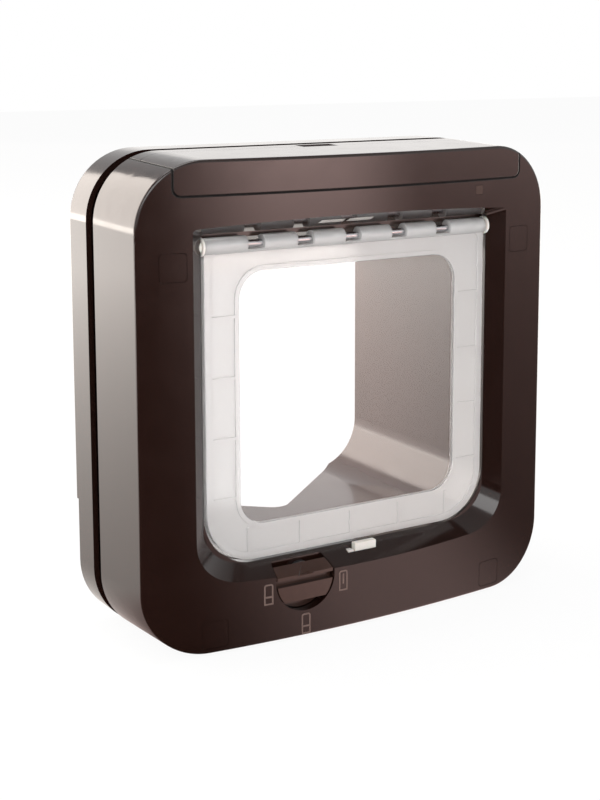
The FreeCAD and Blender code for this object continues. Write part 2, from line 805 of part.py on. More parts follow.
# The well that the lock dial turns in.
well_radius = dial_radius + dial_play
well_floor = dial_back + running_gap
well_back = well_floor + well_wall
well_tube = common("WellTube", rod("WellOutside", "depth", well_radius + well_wall, (0, well_back),
                                   (-dial_x, dial_z)), housing_outside)
well_void = rod("WellVoid", "depth", well_radius, (-PAST, well_floor), (-dial_x, dial_z))
pin_height = dial_z - cam_radius - pin_radius - spindle_play
pin_slot = block("PinSlot", (-dial_x - pin_radius - running_gap, running_gap + pin_radius - dial_x),
                 (well_floor - LAP, well_back + LAP),
                 (pin_height - pin_radius - running_gap, pin_height + fork_lift + pin_radius + running_gap))
spindle_hole = rod("SpindleHole", "depth", spindle_radius + spindle_play,
                   (well_floor - LAP, well_back + LAP), (-dial_x, dial_z))

# The slot in the sill that the latch and the lock fork rise through.
latch_back = latch_front + latch_thickness
sill_slot = block("SillSlot", (-prong_outer - slot_play, latch_far + slot_play),
                  (latch_front - slot_play, latch_back + slot_play),
                  (opening_foot - sill_slot_depth, opening_foot + PAST))

# Windows of the cat sensor in the funnel's roof, and the hole of the indicator light.
roof_share = (flap_depth - window_depth) / flap_depth
roof_height = opening_top + (mouth_top - opening_top) * roof_share


def window_span(sign):
    """The X range of one sensor window."""
    near = window_gap / 2
    far = near + window_length
    return (-window_middle - far, -window_middle - near) if sign < 0 else (near - window_middle,
                                                                            far - window_middle)


def window_block(name, sign, grow, low):
    left, right = window_span(sign)
    half = window_breadth / 2 + grow
    return block(name, (left - grow, right + grow), (window_depth - half, window_depth + half),
                 (low, roof_height + window_reach))


def window_hole(name, sign):
    return window_block(name, sign, as_size(0), roof_height - PAST)


window_holes = mirrored("WindowHole", window_hole)


def lamp_block(name, grow, depth):
    half = lamp_side / 2 + grow
    return block(name, (lamp_x - half, lamp_x + half), depth, (lamp_z - half, lamp_z + half))


lamp_hole = lamp_block("LampHole", as_size(0), (-PAST, bow_at(lamp_x) + wall + LAP))

# Bosses behind the sill carry the latch guide; a seat on the floor carries the fork's spring.
guide_places = ((-guide_ear_left, guide_ear_z), (guide_ear_right, guide_ear_z))
guide_bosses = []
guide_bores = []
for number, (x, z) in enumerate(guide_places):
    boss_span = (wall / 2, guide_front)
    guide_bosses.append(common(f"GuideBoss{number}",
                               rod(f"GuideBossRod{number}", "depth", guide_boss_radius, boss_span, (x, z)),
                               housing_outside))
    guide_bores.append(rod(f"GuideBore{number}", "depth", guide_screw_radius,
                           (guide_front - guide_bore_reach, guide_front + LAP), (x, z)))
spring_stand = rod("SpringStand", "z", spring_mean_radius + spring_stand_rim, (wall - LAP, spring_seat),
                   (-spring_x, spring_depth))
spring_peg = rod("SpringPeg", "z", spring_mean_radius - spring_wire_radius - spring_peg_play,
                 (spring_seat - LAP, spring_seat + spring_peg_height), (-spring_x, spring_depth))

housing_solids = [housing_shell, funnel_walls, well_tube, spring_stand, spring_peg]
housing_solids += pivot_bosses + screw_bosses + posts + guide_bosses
housing_voids = [funnel_void, collar_void, cover_zone("CoverGap", seam_gap / 2), well_void]
housing_voids += [spindle_hole, pin_slot]
housing_voids += pivot_sockets + screw_bores + post_bores + guide_bores + window_holes
housing_voids += [sill_slot, lamp_hole]
node("front_housing", cut("FrontHousing", fuse("HousingSolid", housing_solids), housing_voids))

cover_shell = common("CoverShell", housing_shell, cover_zone("CoverZone", -seam_gap / 2))

# Two tongues inside the cover go down behind the housing's front wall.


def cover_tongue(name, sign):
    span = spread(sign, tongue_x - tongue_half, tongue_x + tongue_half)
    start = bow_at(tongue_x + tongue_half) + wall
    behind = start + running_gap + tongue_thickness
    root_low = cover_foot + LAP
    root_block = block(f"{name}Root", span, (start - LAP, behind), (root_low, root_low + tongue_root))
    lip = block(f"{name}Lip", span, (start + running_gap, behind),
                (cover_foot - tongue_reach, root_low + LAP))
    return fuse(name, [root_block, lip])


node("battery_cover", fuse("BatteryCover", [cover_shell] + mirrored("Tongue", cover_tongue)))

# The flap: a clear sheet with a raised rim, a raised lip round its window and a hinge tube.
flap_half = opening_half - flap_side_gap
flap_foot = opening_foot + flap_edge_gap
flap_top = pivot_height
flap_end = flap_depth + flap_thickness
window_half = flap_half - border_side
window_foot = flap_foot + border_foot
window_top = pivot_height - border_top


def flap_outline(name, inset, depth, corner):
    corners = oblong(flap_half - inset, flap_foot + inset, flap_top - inset)
    return plate(name, "front", corners, depth, ((LOWER, corner - inset), (UPPER, upper_corner)))


def window_outline(name, grow, depth):
    corners = oblong(window_half + grow, window_foot - grow, window_top + grow)
    return plate(name, "front", corners, depth, ((ALL_FOUR, window_round + grow),))


def flap_pocket(name, depth):
    """The shallow sink between rim and lip, and inside the lip."""
    border = flap_outline(f"{name}Border", rim_width, depth, flap_corner)
    through = (depth[0] - LAP, depth[1] + LAP)
    ribs = []
    for sign in (-1, 1):
        side = spread(sign, window_half + lip_width - LAP, flap_half - LAP)
        for count in range(side_ribs):
            low = window_foot + rib_pitch * (count + 0.5) - rib_width / 2
            ribs.append(block(f"{name}SideRib", side, through, (low, low + rib_width)))
    for count in range(foot_ribs):
        near = rib_pitch * (count - foot_ribs // 2) - rib_width / 2
        ribs.append(block(f"{name}FootRib", (near, near + rib_width), through,
                          (flap_foot + LAP, window_foot - lip_width + LAP)))
    lip = window_outline(f"{name}Lip", lip_width, depth)
    frame = cut(f"{name}Frame", border, [lip] + ribs)
    return fuse(name, [frame, window_outline(f"{name}Window", as_size(0), depth)])


flap_slab = flap_outline("FlapSlab", as_size(0), (flap_depth, flap_end), flap_corner)
flap_body = cut("FlapBody", flap_slab,
                [flap_pocket("PocketFront", (flap_depth - LAP, flap_depth + rim_step)),
                 flap_pocket("PocketRear", (flap_end - rim_step, flap_end + LAP))])
knuckle_tube = rod("KnuckleTube", "x", knuckle_radius, (-flap_half, flap_half), (pivot_depth, pivot_height))
knuckle_bore = rod("KnuckleBore", "x", rod_radius + rod_play, (-flap_half - LAP, flap_half + LAP),
                   (pivot_depth, pivot_height))
knuckle_notches = []
for count in range(notches):
    middle = notch_pitch * (count - notches // 2)
    across = (middle - notch_width / 2, middle + notch_width / 2)
    through = (pivot_depth - knuckle_radius - LAP, pivot_depth + knuckle_radius + LAP)
    low = pivot_height - rod_radius - notch_floor
    knuckle_notches.append(block(f"KnuckleNotch{count}", across, through,
                                 (low, pivot_height + knuckle_radius + LAP)))
node("flap_panel", cut("FlapPanel", fuse("FlapSolid", [flap_body, knuckle_tube]),
                       [knuckle_bore] + knuckle_notches))

# The steel hinge rod turns with the flap in a bush at each side.
rod_half = bush_end - rod_end_gap
node("hinge_rod", rod("HingeRod", "x", rod_radius, (-rod_half, rod_half), (pivot_depth, pivot_height)))


def hinge_bush(name, sign):
    centre = (pivot_depth, pivot_height)
    face = opening_half - flange_thickness
    sleeve = rod(f"{name}Sleeve", "x", bush_radius, spread(sign, face, bush_end), centre)
    flange = rod(f"{name}Flange", "x", flange_radius, spread(sign, face, opening_half), centre)
    bore_span = spread(sign, face - LAP, bush_end + LAP)
    bore = rod(f"{name}Bore", "x", rod_radius + pivot_play, bore_span, centre)
    return cut(name, fuse(f"{name}Solid", [sleeve, flange]), [bore])


for side, bush in zip(("left", "right"), mirrored("HingeBush", hinge_bush)):
    node(f"hinge_bush_{side}", bush)

# The tunnel through the door and the plate that closes the housing's back.
plate_end = plate_front + plate_thickness
tunnel_start = collar_end + tunnel_gap


def tunnel_form(name, skin, near, far):
    """The tunnel's section under its sloping ceiling."""
    slope = (ceiling_bend - ceiling_end) / (tunnel_end - ceiling_bend_depth)
    rise = (ceiling_start - ceiling_bend) / (ceiling_bend_depth - tunnel_start)
    low = opening_foot - skin
    tall = plate(f"{name}Tall", "front", oblong(opening_half + skin, low, frame_side), (near, far),
                 ((LOWER, opening_corner + skin),))
    start = ceiling_start + rise * (tunnel_start - near) + skin
    end = ceiling_end - slope * (far - tunnel_end) + skin
    side = ((near, 0), (far, 0), (far, end), (ceiling_bend_depth, ceiling_bend + skin), (near, start))
    wide = plate(f"{name}Wide", "side", side, (-frame_half, frame_half))
    return common(name, tall, wide)


back_half = frame_half - wall - plate_gap
back_plate = plate("BackPlate", "front", oblong(back_half, wall + plate_gap, frame_side - wall - plate_gap),
                   (plate_front, plate_end), ((ALL_FOUR, corner_radius - wall),))
tunnel_outside = tunnel_form("TunnelOutside", tunnel_wall, tunnel_start, tunnel_end)
tunnel_void = tunnel_form("TunnelVoid", as_size(0), tunnel_start - PAST, tunnel_end + PAST)
past_end = tunnel_end + PAST
past_half = floor_cut_half * (past_end - floor_cut_depth) / (tunnel_end - floor_cut_depth)
floor_cut = plate("FloorCut", "plan", ((0, floor_cut_depth), (past_half, past_end), (-past_half, past_end)),
                  (opening_foot - tunnel_wall - LAP, opening_foot + floor_cut_rise),
                  (((0,), floor_cut_round),))
prong_slot = block("ProngSlot", (-rear_prong_far - slot_play, slot_play - rear_prong_near),
                   (tunnel_start - LAP, prong_depth + prong_thickness + slot_play),
                   (opening_foot - tunnel_wall - LAP, opening_foot + PAST))
tunnel_holes = [tunnel_void, floor_cut, prong_slot]
for name, x, z in screw_places:
    tunnel_holes.append(rod(f"PlateHole{name}", "depth", screw_radius + screw_play,
                            (plate_front - LAP, plate_end + LAP), (x, z)))
for number, (x, z) in enumerate(post_places):
    tunnel_holes.append(rod(f"PlatePostHole{number}", "depth", post_screw_radius + small_screw_play,
                            (plate_front - LAP, plate_end + LAP), (x, z)))
node("tunnel_housing", cut("TunnelHousing", fuse("TunnelSolid", [back_plate, tunnel_outside]),
                           tunnel_holes))

# The frame on the outside of the door, with a thicker hood above a step.
outer_start = housing_depth + door_gap
outer_end = outer_start + outdoor_depth
hood_end = outer_end + hood_step


def outdoor_form(name, inset):
    half = frame_half - inset
    corners = oblong(half, as_size(0) + inset, frame_side - inset)
    rounds = ((ALL_FOUR, corner_radius - inset),)
    start = outer_start if inset == 0 else outer_start - PAST
    low = plate(f"{name}Low", "front", corners, (start, outer_end - inset), rounds)
    high = plate(f"{name}High", "front", corners, (start, hood_end - inset), rounds)
    hood = common(f"{name}Hood", high, block(f"{name}Above", (-frame_half - LAP, frame_half + LAP),
                                             (outer_start - 2 * PAST, hood_end + LAP),
                                             (hood_foot + inset, frame_side + LAP)))
    return fuse(name, [low, hood])


def outer_rounding(edge):
    """The rounding of the hood's rear rim."""
    ends = [edge.valueAt(edge.FirstParameter), edge.valueAt(edge.LastParameter)]
    rim = at_depth(hood_end).number
    behind = all(abs(end.y - rim) < TOUCH for end in ends)
    above = ends[0].z + ends[1].z > 2 * hood_foot.number + LAP
    return rear_round if behind and above else None


outdoor_outside = soften("OutdoorOutside", outdoor_form("OutdoorForm", 0), outer_rounding)
outdoor_inside = outdoor_form("OutdoorInside", wall)
outer_half = opening_half + tunnel_wall + outer_gap
outer_foot = opening_foot - tunnel_wall - outer_gap
outer_corner = opening_corner + tunnel_wall + outer_gap


def outer_opening(name, grow, depth):
    corners = oblong(outer_half + grow, outer_foot - grow, outer_top + grow)
    rounds = ((LOWER, outer_corner + grow), (UPPER, upper_corner + grow))
    return plate(name, "front", corners, depth, rounds)


collar_reach = (outer_start, hood_end - LAP)
outdoor_collar = common("OutdoorCollar", outer_opening("CollarBlock", collar_wall, collar_reach),
                        outdoor_outside)
outdoor_bosses = []
outdoor_bores = [outer_opening("OutdoorOpening", as_size(0), (outer_start - 2 * PAST, hood_end + PAST))]
inserts = []
insert_end = outer_start + insert_length
for name, x, z in screw_places:
    boss = rod(f"InsertBoss{name}Rod", "depth", insert_boss_radius, collar_reach, (x, z))
    outdoor_bosses.append(common(f"InsertBoss{name}", boss, outdoor_outside))
    outdoor_bores.append(rod(f"InsertBore{name}", "depth", insert_radius, (outer_start - LAP, insert_end),
                             (x, z)))
    sleeve = rod(f"Insert{name}Sleeve", "depth", insert_radius, (outer_start, insert_end), (x, z))
    thread = rod(f"Insert{name}Thread", "depth", screw_radius + thread_play,
                 (outer_start - LAP, insert_end + LAP), (x, z))
    inserts.append(cut(f"Insert{name}", sleeve, [thread]))
outdoor_walls = cut("OutdoorWalls", outdoor_outside, [outdoor_inside])
outdoor_solid = fuse("OutdoorSolid", [outdoor_walls, outdoor_collar] + outdoor_bosses)
node("outdoor_frame", cut("OutdoorFrame", outdoor_solid, outdoor_bores))
node("threaded_inserts", fuse("ThreadedInserts", inserts))

# The soft seal on the back plate and the aerial wound round the tunnel.


def ring(name, outline, corner, width, depth):
    """A band of even width inside a rounded oblong of a half width, foot and top."""
    half, foot, top = outline
    lower, upper = corner
    outside = plate(f"{name}Outside", "front", oblong(half, foot, top), depth,
                    ((LOWER, lower), (UPPER, upper)))
    inner = oblong(half - width, foot + width, top - width)
    hollow = plate(f"{name}Hollow", "front", inner, (depth[0] - LAP, depth[1] + LAP),
                   ((LOWER, lower - width), (UPPER, upper - width)))
    return cut(name, outside, [hollow])


seal_inset = wall + plate_gap + seal_rim
seal_round = corner_radius - seal_inset
node("door_seal", ring("DoorSeal", (frame_half - seal_inset, seal_inset, frame_side - seal_inset),
                       (seal_round, seal_round), seal_width, (plate_end, plate_end + seal_thickness)))
coil_skin = tunnel_wall + coil_gap + coil_thickness
coil_top = ceiling_start - tunnel_wall + coil_skin
node("antenna_coil", ring("AntennaCoil", (opening_half + coil_skin, opening_foot - coil_skin, coil_top),
                          (opening_corner + coil_skin, coil_corner), coil_thickness,
                          (coil_start, coil_start + coil_length)))

# The long screws with their caps, and the small screws of the back plate.


def cross_screw(name, x, z, head, shank, end):
    """A cross-slotted screw along the depth; a head is its radius, face and seat."""
    head_radius, face, seat = head
    turn = 1 if face.number < seat.number else -1
    front, back = (face, seat) if turn == 1 else (seat, face)
    cap = rod(f"{name}Head", "depth", head_radius, (front, back), (x, z))
    span = (seat - LAP, end) if turn == 1 else (end, seat + LAP)
    stem = rod(f"{name}Stem", "depth", shank, span, (x, z))
    reach = head_radius * slot_share
    half = slot_breadth / 2
    cut_span = (front - LAP, front + slot_depth) if turn == 1 else (back - slot_depth, back + LAP)
    across = block(f"{name}Across", (x - reach, x + reach), cut_span, (z - half, z + half))
    along = block(f"{name}Along", (x - half, x + half), cut_span, (z - reach, z + reach))
    return cut(name, fuse(f"{name}Solid", [cap, stem]), [across, along])


long_screws = []
for name, x, z in screw_places:
    head = (screw_head_radius, screw_head_depth, screw_seat)
    long_screws.append(cross_screw(f"Screw{name}", x, z, head, screw_radius, screw_seat + screw_length))
    cap = cap_prism(f"Cap{name}Prism", x, z, 0, bow_at(x) + cap_thickness - cap_back_gap)
    words = "".join(f"_{letter.lower()}" if letter.isupper() else letter for letter in name)
    node(f"screw_cap{words}", common(f"Cap{name}", cap, housing_outside))
node("fixing_screws", fuse("FixingScrews", long_screws))
small_screws = []
for number, (x, z) in enumerate(post_places):
    head = (small_head_radius, plate_end + small_head_height, plate_end)
    small_screws.append(cross_screw(f"PostScrew{number}", x, z, head, post_screw_radius, post_screw_start))
node("housing_screws", fuse("HousingScrews", small_screws))

# The lock dial: a thick disc whose upper half follows the sill's slope, on a spindle.
sill_slope = (opening_foot - mouth_foot) / flap_depth
dial_span = (-dial_x - dial_radius - LAP, dial_radius + LAP - dial_x)


def sill_cut(name, drop, depth):
    """Everything above the sill's slope, between two depths."""
    low = mouth_foot - drop
    near, far = depth
    high = low + sill_slope * far + dial_radius
    points = ((near, low + sill_slope * near), (far, low + sill_slope * far), (far, high), (near, high))
    return plate(name, "side", points, dial_span)


dial_disc = rod("DialDisc", "depth", dial_radius, (dial_set_back, dial_face_end), (-dial_x, dial_z))
dial_groove = block("DialGroove", dial_span, (dial_set_back - LAP, dial_set_back + groove_depth),
                    (dial_z - groove_low, dial_z + groove_high))
dial_scoop = block("DialScoop", dial_span, (dial_set_back - LAP, dial_set_back + scoop_depth),
                   (dial_z - dial_radius - LAP, dial_z - scoop_drop))
dial_bevel = sill_cut("DialBevel", sill_drop, (-LAP, dial_face_end + LAP))
dial_spindle = rod("DialSpindle", "depth", spindle_radius, (dial_face_end - LAP, spindle_end),
                   (-dial_x, dial_z))
dial_thread = rod("DialThread", "depth", dial_screw_radius,
                  (spindle_end - dial_screw_reach - LAP, spindle_end + LAP), (-dial_x, dial_z))
dial_form = cut("DialForm", fuse("DialSolid", [dial_disc, dial_spindle]),
                [dial_groove, dial_scoop, dial_thread, dial_bevel])


def arrow(name, inset):
    """A triangular prism over the dial's bevel, set in evenly from its three sides."""
    rise = arrow_tip - arrow_foot
    flank = root(arrow_half * arrow_half + rise * rise)
    half = arrow_half - inset * (flank + arrow_half) / rise
    points = ((-dial_x - half, arrow_foot + inset), (half - dial_x, arrow_foot + inset),
              (-dial_x, arrow_tip - inset * flank / arrow_half))
    return plate(name, "front", points, (0, dial_face_end - running_gap))


arrow_frame = cut("ArrowFrame", arrow("ArrowOutside", as_size(0)), [arrow("ArrowInside", arrow_line)])
arrow_low = mouth_foot - sill_drop - LAP
arrow_high = arrow_low + LAP + arrow_raise
arrow_slope = sill_slope * dial_face_end
arrow_skin = plate("ArrowSkin", "side", ((0, arrow_low), (dial_face_end, arrow_low + arrow_slope),
                                         (dial_face_end, arrow_high + arrow_slope), (0, arrow_high)),
                   dial_span)
dial_arrow = common("DialArrow", arrow_frame, arrow_skin)
node("lock_dial", fuse("LockDial", [dial_form, dial_arrow]))

# The cam behind the dial: its radius falls evenly over three quarters of a turn.
CAM_STEP = 7.5
CAM_TURN = 270
CAM_REST = 285


def cam_reach(turn):
    """The cam's radius at a turn from its longest point."""
    if turn <= CAM_TURN:
        return cam_radius - fork_lift * (turn / CAM_TURN)
    if turn <= CAM_REST:
        return cam_radius - fork_lift
    return cam_radius - fork_lift * ((360 - turn) / (360 - CAM_REST))


cam_points = []
for count in range(int(360 / CAM_STEP)):
    turn = count * CAM_STEP
    angle = math.radians(turn)
    reach = cam_reach(turn)
    cam_points.append((reach * math.sin(angle) - dial_x, dial_z - reach * math.cos(angle)))
cam_plate = plate("CamPlate", "front", cam_points, (dial_face_end, dial_back))
cam_bore = rod("CamBore", "depth", spindle_radius, (dial_face_end - LAP, dial_back + LAP),
               (-dial_x, dial_z))
node("dial_cam", cut("DialCam", cam_plate, [cam_bore]))
washer_face = well_back + dial_washer_height + running_gap
node("dial_screw", cross_screw("DialScrew", -dial_x, dial_z,
                               (dial_washer_radius, washer_face, well_back + running_gap),
                               dial_screw_radius, spindle_end - dial_screw_reach))

# One lock fork rises in front of the flap and behind it; its pin rests under the cam.
bar_start = well_back + fork_bar_gap
bar_end = bar_start + prong_thickness
bar_top = fork_bar_foot + fork_bar_height
prong_back = prong_depth + prong_thickness
link_end = latch_front + prong_thickness
bar_z = (fork_bar_foot, bar_top)
fork_bar = block("ForkBar", (-fork_end_x, LAP - rear_prong_far), (bar_start, bar_end), bar_z)
fork_turn = block("ForkTurn", (-rear_prong_far, -fork_link_far), (latch_front, prong_back), bar_z)
fork_link = block("ForkLink", (-rear_prong_far, -prong_inner), (latch_front, link_end), bar_z)
fork_prong = block("ForkProng", (-prong_outer, -prong_inner), (latch_front, link_end),
                   (fork_bar_foot, prong_top))
fork_foot = block("ForkFoot", (-rear_prong_far, -rear_prong_near), (prong_depth, prong_back),
                  (fork_bar_foot, rear_prong_top))
fork_pin = rod("ForkPin", "depth", pin_radius, (dial_face_end + pin_front_gap, bar_end),
               (-dial_x, pin_height))
node("lock_fork", fuse("LockFork", [fork_bar, fork_turn, fork_link, fork_prong, fork_foot, fork_pin]))


def coil_spring(name, centre, ends, mean, wire, turns):
    """A round-wire helix along Z between two ends."""
    x, depth = centre
    low, high = ends[0].number + wire, ends[1].number - wire
    helix = Part.makeHelix((high - low) / turns, high - low, mean)
    circle = Part.Wire(Part.makeCircle(wire, Vector(mean, 0, 0), Vector(0, 1, 0)))
    sweep = Part.Wire(helix.Edges).makePipeShell([circle], True, True)
    sweep.translate(Vector(as_size(x).number, at_depth(depth).number, low))
    spring = doc.addObject("Part::Feature", name)
    spring.Shape = sweep
    return spring


SPRING_TURNS = 8
node("fork_spring", coil_spring("ForkSpring", (-spring_x, spring_depth), (spring_seat, fork_bar_foot),
                                spring_mean_radius.number, spring_wire_radius.number, SPRING_TURNS))

# The motor latch with its rack, and the pinion on the motor's shaft. A rack tooth is given by its
# half widths as shares of the pitch and its height in modules, and a pinion tooth by pairs of both.
RACK_FOOT = 0.44
RACK_CREST = 0.13
RACK_HEIGHT = 2.1
PINION_TOOTH = ((-0.27, -1.25), (-0.21, 0), (-0.08, 0.85), (0.08, 0.85), (0.21, 0), (0.27, -1.25))
ROOT_DEPTH = 1.25
pitch_depth = latch_back + gear_module * ROOT_DEPTH
pinion_depth = pitch_depth + gear_module * gear_teeth / 2
tooth_pitch = gear_module * math.pi
latch_bar = block("LatchBar", (-latch_near, latch_far), (latch_front, latch_back), (latch_foot, latch_top))
rack_foot = pinion_z - tooth_pitch * (rack_teeth - 1)
rack_crest = latch_back + gear_module * RACK_HEIGHT
rack_points = [(latch_back - LAP, rack_foot)]
for count in range(rack_teeth):
    middle = rack_foot + tooth_pitch * (count + 0.5)
    for share, depth in ((-RACK_FOOT, latch_back), (-RACK_CREST, rack_crest),
                         (RACK_CREST, rack_crest), (RACK_FOOT, latch_back)):
        rack_points.append((depth, middle + tooth_pitch * share))
rack_points.append((latch_back - LAP, rack_foot + tooth_pitch * rack_teeth))
latch_rack = plate("LatchRack", "side", rack_points, (rack_near, rack_far))
node("motor_latch", fuse("MotorLatch", [latch_bar, latch_rack]))
pinion_radius = gear_module * gear_teeth / 2
pinion_points = []
for count in range(gear_teeth):
    for share, reach in PINION_TOOTH:
        angle = 2 * math.pi * (count + share) / gear_teeth
        far = pinion_radius + gear_module * reach - mesh_play / 2
        pinion_points.append((pinion_depth - far * math.cos(angle), pinion_z + far * math.sin(angle)))
pinion_gear = plate("PinionGear", "side", pinion_points, (rack_near, rack_far))
pinion_shaft = rod("PinionShaft", "x", pinion_shaft_radius, (rack_near, motor_start + LAP),
                   (pinion_depth, pinion_z))
node("drive_pinion", fuse("DrivePinion", [pinion_gear, pinion_shaft]))

# The geared motor lies beside the pinion on the guide's shelf.
motor_back = pinion_depth + motor_half
motor_body = block("MotorBody", (motor_start, motor_end), (pinion_depth - motor_half, motor_back),
                   (motor_foot, motor_foot + motor_height))
motor_bore = rod("MotorBore", "x", pinion_shaft_radius + shaft_play,
                 (motor_start - LAP, motor_start + 2 * LAP), (pinion_depth, pinion_z))
node("latch_motor", cut("LatchMotor", motor_body, [motor_bore]))

# The guide keeps the latch and the fork's front prong upright and carries the motor.
shelf_end = motor_end + guide_play + shelf_thickness
shelf_top = motor_foot - shelf_gap
shelf_foot = shelf_top - shelf_thickness
guide_block = block("GuideBlock", (-guide_left, guide_right), (guide_front, guide_back),
                    (guide_foot, guide_top))
guide_shelf = block("GuideShelf", (guide_right - LAP, shelf_end), (guide_front, motor_back),
                    (shelf_foot, shelf_top))
guide_stop = block("GuideStop", (motor_end + guide_play, shelf_end), (guide_front, motor_back),
                   (shelf_foot, pinion_z))
ear_back = guide_front + ear_thickness
ear_low = guide_ear_z - ear_half
ear_high = guide_ear_z + ear_half
guide_ears = [block("GuideEarLeft", (-guide_ear_left - ear_half, LAP - guide_left), (guide_front, ear_back),
                    (ear_low, ear_high)),
              block("GuideEarRight", (shelf_end - 2 * LAP, guide_ear_right + ear_half),
                    (guide_front, ear_back), (ear_low, shelf_top))]
channel_front = latch_front - guide_play
channel_back = latch_back + guide_play
guide_channel = block("GuideChannel", (-prong_outer - slot_play, latch_far + guide_play),
                      (channel_front, channel_back), (guide_foot + guide_floor, guide_top + LAP))
guide_window = block("GuideWindow", (-guide_left - LAP, -prong_outer), (channel_front, channel_back),
                     (fork_bar_foot - LAP, bar_top + fork_lift + guide_play))
guide_bite = block("GuideBite", (rack_near - guide_play, rack_far + guide_play),
                   (channel_back - LAP, guide_back + LAP), (guide_foot + guide_floor, guide_top + LAP))
guide_holes = []
for number, (x, z) in enumerate(guide_places):
    guide_holes.append(rod(f"GuideHole{number}", "depth", guide_screw_radius + small_screw_play,
                           (guide_front - LAP, ear_back + LAP), (x, z)))
guide_solid = fuse("GuideSolid", [guide_block, guide_shelf, guide_stop] + guide_ears)
node("latch_guide", cut("LatchGuide", guide_solid, [guide_channel, guide_window, guide_bite] + guide_holes))
guide_screws = []
for number, (x, z) in enumerate(guide_places):
    head = (guide_head_radius, ear_back + guide_head_height, ear_back)
    guide_screws.append(cross_screw(f"GuideScrew{number}", x, z, head, guide_screw_radius,
                                    guide_front - guide_screw_reach))
node("guide_screws", fuse("GuideScrews", guide_screws))

# Clear windows in the funnel's roof and the indicator's lens.


def window_pane(name, sign):
    pane = window_block(f"{name}Pane", sign, as_size(-seam_gap / 2), roof_height - PAST)
    skin = funnel_form(f"{name}Skin", window_reach - LAP)
    hidden = common(f"{name}Inside", pane, skin)
    return cut(name, hidden, [funnel_void])


for side, pane in zip(("left", "right"), mirrored("SensorWindow", window_pane)):
    node(f"sensor_window_{side}", pane)
lens_stem = lamp_block("LensStem", -seam_gap / 2, (-PAST, bow_at(lamp_x) + lamp_length))
node("indicator_lens", common("IndicatorLens", lens_stem, housing_outside))

# The battery tray, its cells and their contacts.
tray_parts = [block("TrayFloor", (-tray_half, tray_half), (tray_front, tray_back), (tray_floor, tray_top)),
              block("TrayRear", (-tray_half, tray_half), (tray_back - tray_wall, tray_back),
                    (tray_floor, tray_wall_top)),
              block("TrayDeck", (-tray_inner, tray_inner), (tray_front, tray_back),
                    (deck_foot, deck_foot + deck_thickness))]
foot_low = opening_top + collar_ease + funnel_wall
for sign in (-1, 1):
    side = "Left" if sign < 0 else "Right"
    tray_parts.append(block(f"TrayEnd{side}", spread(sign, tray_outer, tray_half),
                            (tray_front, tray_back), (tray_floor, tray_wall_top)))
    tray_parts.append(block(f"TrayInner{side}", spread(sign, tray_inner - tray_wall, tray_inner),
                            (tray_front, tray_back), (tray_floor, tray_wall_top)))
    tray_parts.append(block(f"TrayFoot{side}",
                            spread(sign, tray_foot_x - tray_foot_half, tray_foot_x + tray_foot_half),
                            (flap_depth + tray_foot_gap, collar_end - tray_foot_gap),
                            (foot_low, tray_floor + LAP)))
button_hole = rod("ButtonHole", "z", button_radius + button_play,
                  (deck_foot - LAP, deck_foot + deck_thickness + LAP), (button_x, button_depth))
lead_hole = rod("LeadHole", "z", lead_radius + lead_play, (tray_floor - LAP, tray_top + LAP),
                (lead_inner, lead_depth))
node("battery_tray", cut("BatteryTray", fuse("TraySolid", tray_parts), [button_hole, lead_hole]))


def battery(name, sign, depth, outward):
    """A round cell along X with its nub at the outer or the inner end."""
    start, end = (cell_start, cell_end - nub_length) if outward else (cell_start + nub_length, cell_end)
    nub = (end - LAP, cell_end) if outward else (cell_start, start + LAP)
    can = rod(f"{name}Can", "x", cell_radius, spread(sign, start, end), (depth, cell_height))
    tip = rod(f"{name}Tip", "x", nub_radius, spread(sign, nub[0], nub[1]), (depth, cell_height))
    return fuse(name, [can, tip])


for side, sign in (("left", -1), ("right", 1)):
    node(f"battery_cell_{side}_front", battery(f"Cell{side}Front", sign, cell_front, True))
    node(f"battery_cell_{side}_back", battery(f"Cell{side}Back", sign, cell_back, False))


def contact_plate(name, sign, depth, wall_face, cell_face):
    """A flat contact on a tray wall with a raised button that meets a nub."""
    half = contact_side / 2
    outward = wall_face.number < cell_face.number
    ends = (wall_face, wall_face + contact_sheet) if outward else (wall_face - contact_sheet, wall_face)
    bump = (wall_face, cell_face) if outward else (cell_face, wall_face)
    sheet_block = block(f"{name}Sheet", spread(sign, ends[0], ends[1]), (depth - half, depth + half),
                        (cell_height - half, cell_height + half))
    bump_rod = rod(f"{name}Bump", "x", contact_bump, spread(sign, bump[0], bump[1]), (depth, cell_height))
    return fuse(name, [sheet_block, bump_rod])


def contact_coil(name, sign, depth, wall_face, cell_face):
    """Rings of spring wire, tied by a short bar, between a tray wall and a cell's flat end."""
    near, far = (wall_face, cell_face) if wall_face.number < cell_face.number else (cell_face, wall_face)
    centres = (near + coil_wire, (near + far) / 2, far - coil_wire)
    rings = []
    for number, centre in enumerate(centres):
        loop = doc.addObject("Part::Torus", f"{name}Ring{number}")
        bind(loop, "Radius1", coil_mean)
        bind(loop, "Radius2", coil_wire)
        place(loop, centre * sign, depth, cell_height, Rotation(Vector(0, 1, 0), 90))
        rings.append(loop)
    bar_height = cell_height + coil_mean
    bar = block(f"{name}Bar", spread(sign, near + coil_wire / 2, far - coil_wire / 2),
                (depth - coil_bar_half, depth + coil_bar_half),
                (bar_height - coil_bar_half, bar_height + coil_bar_half))
    return fuse(name, rings + [bar])


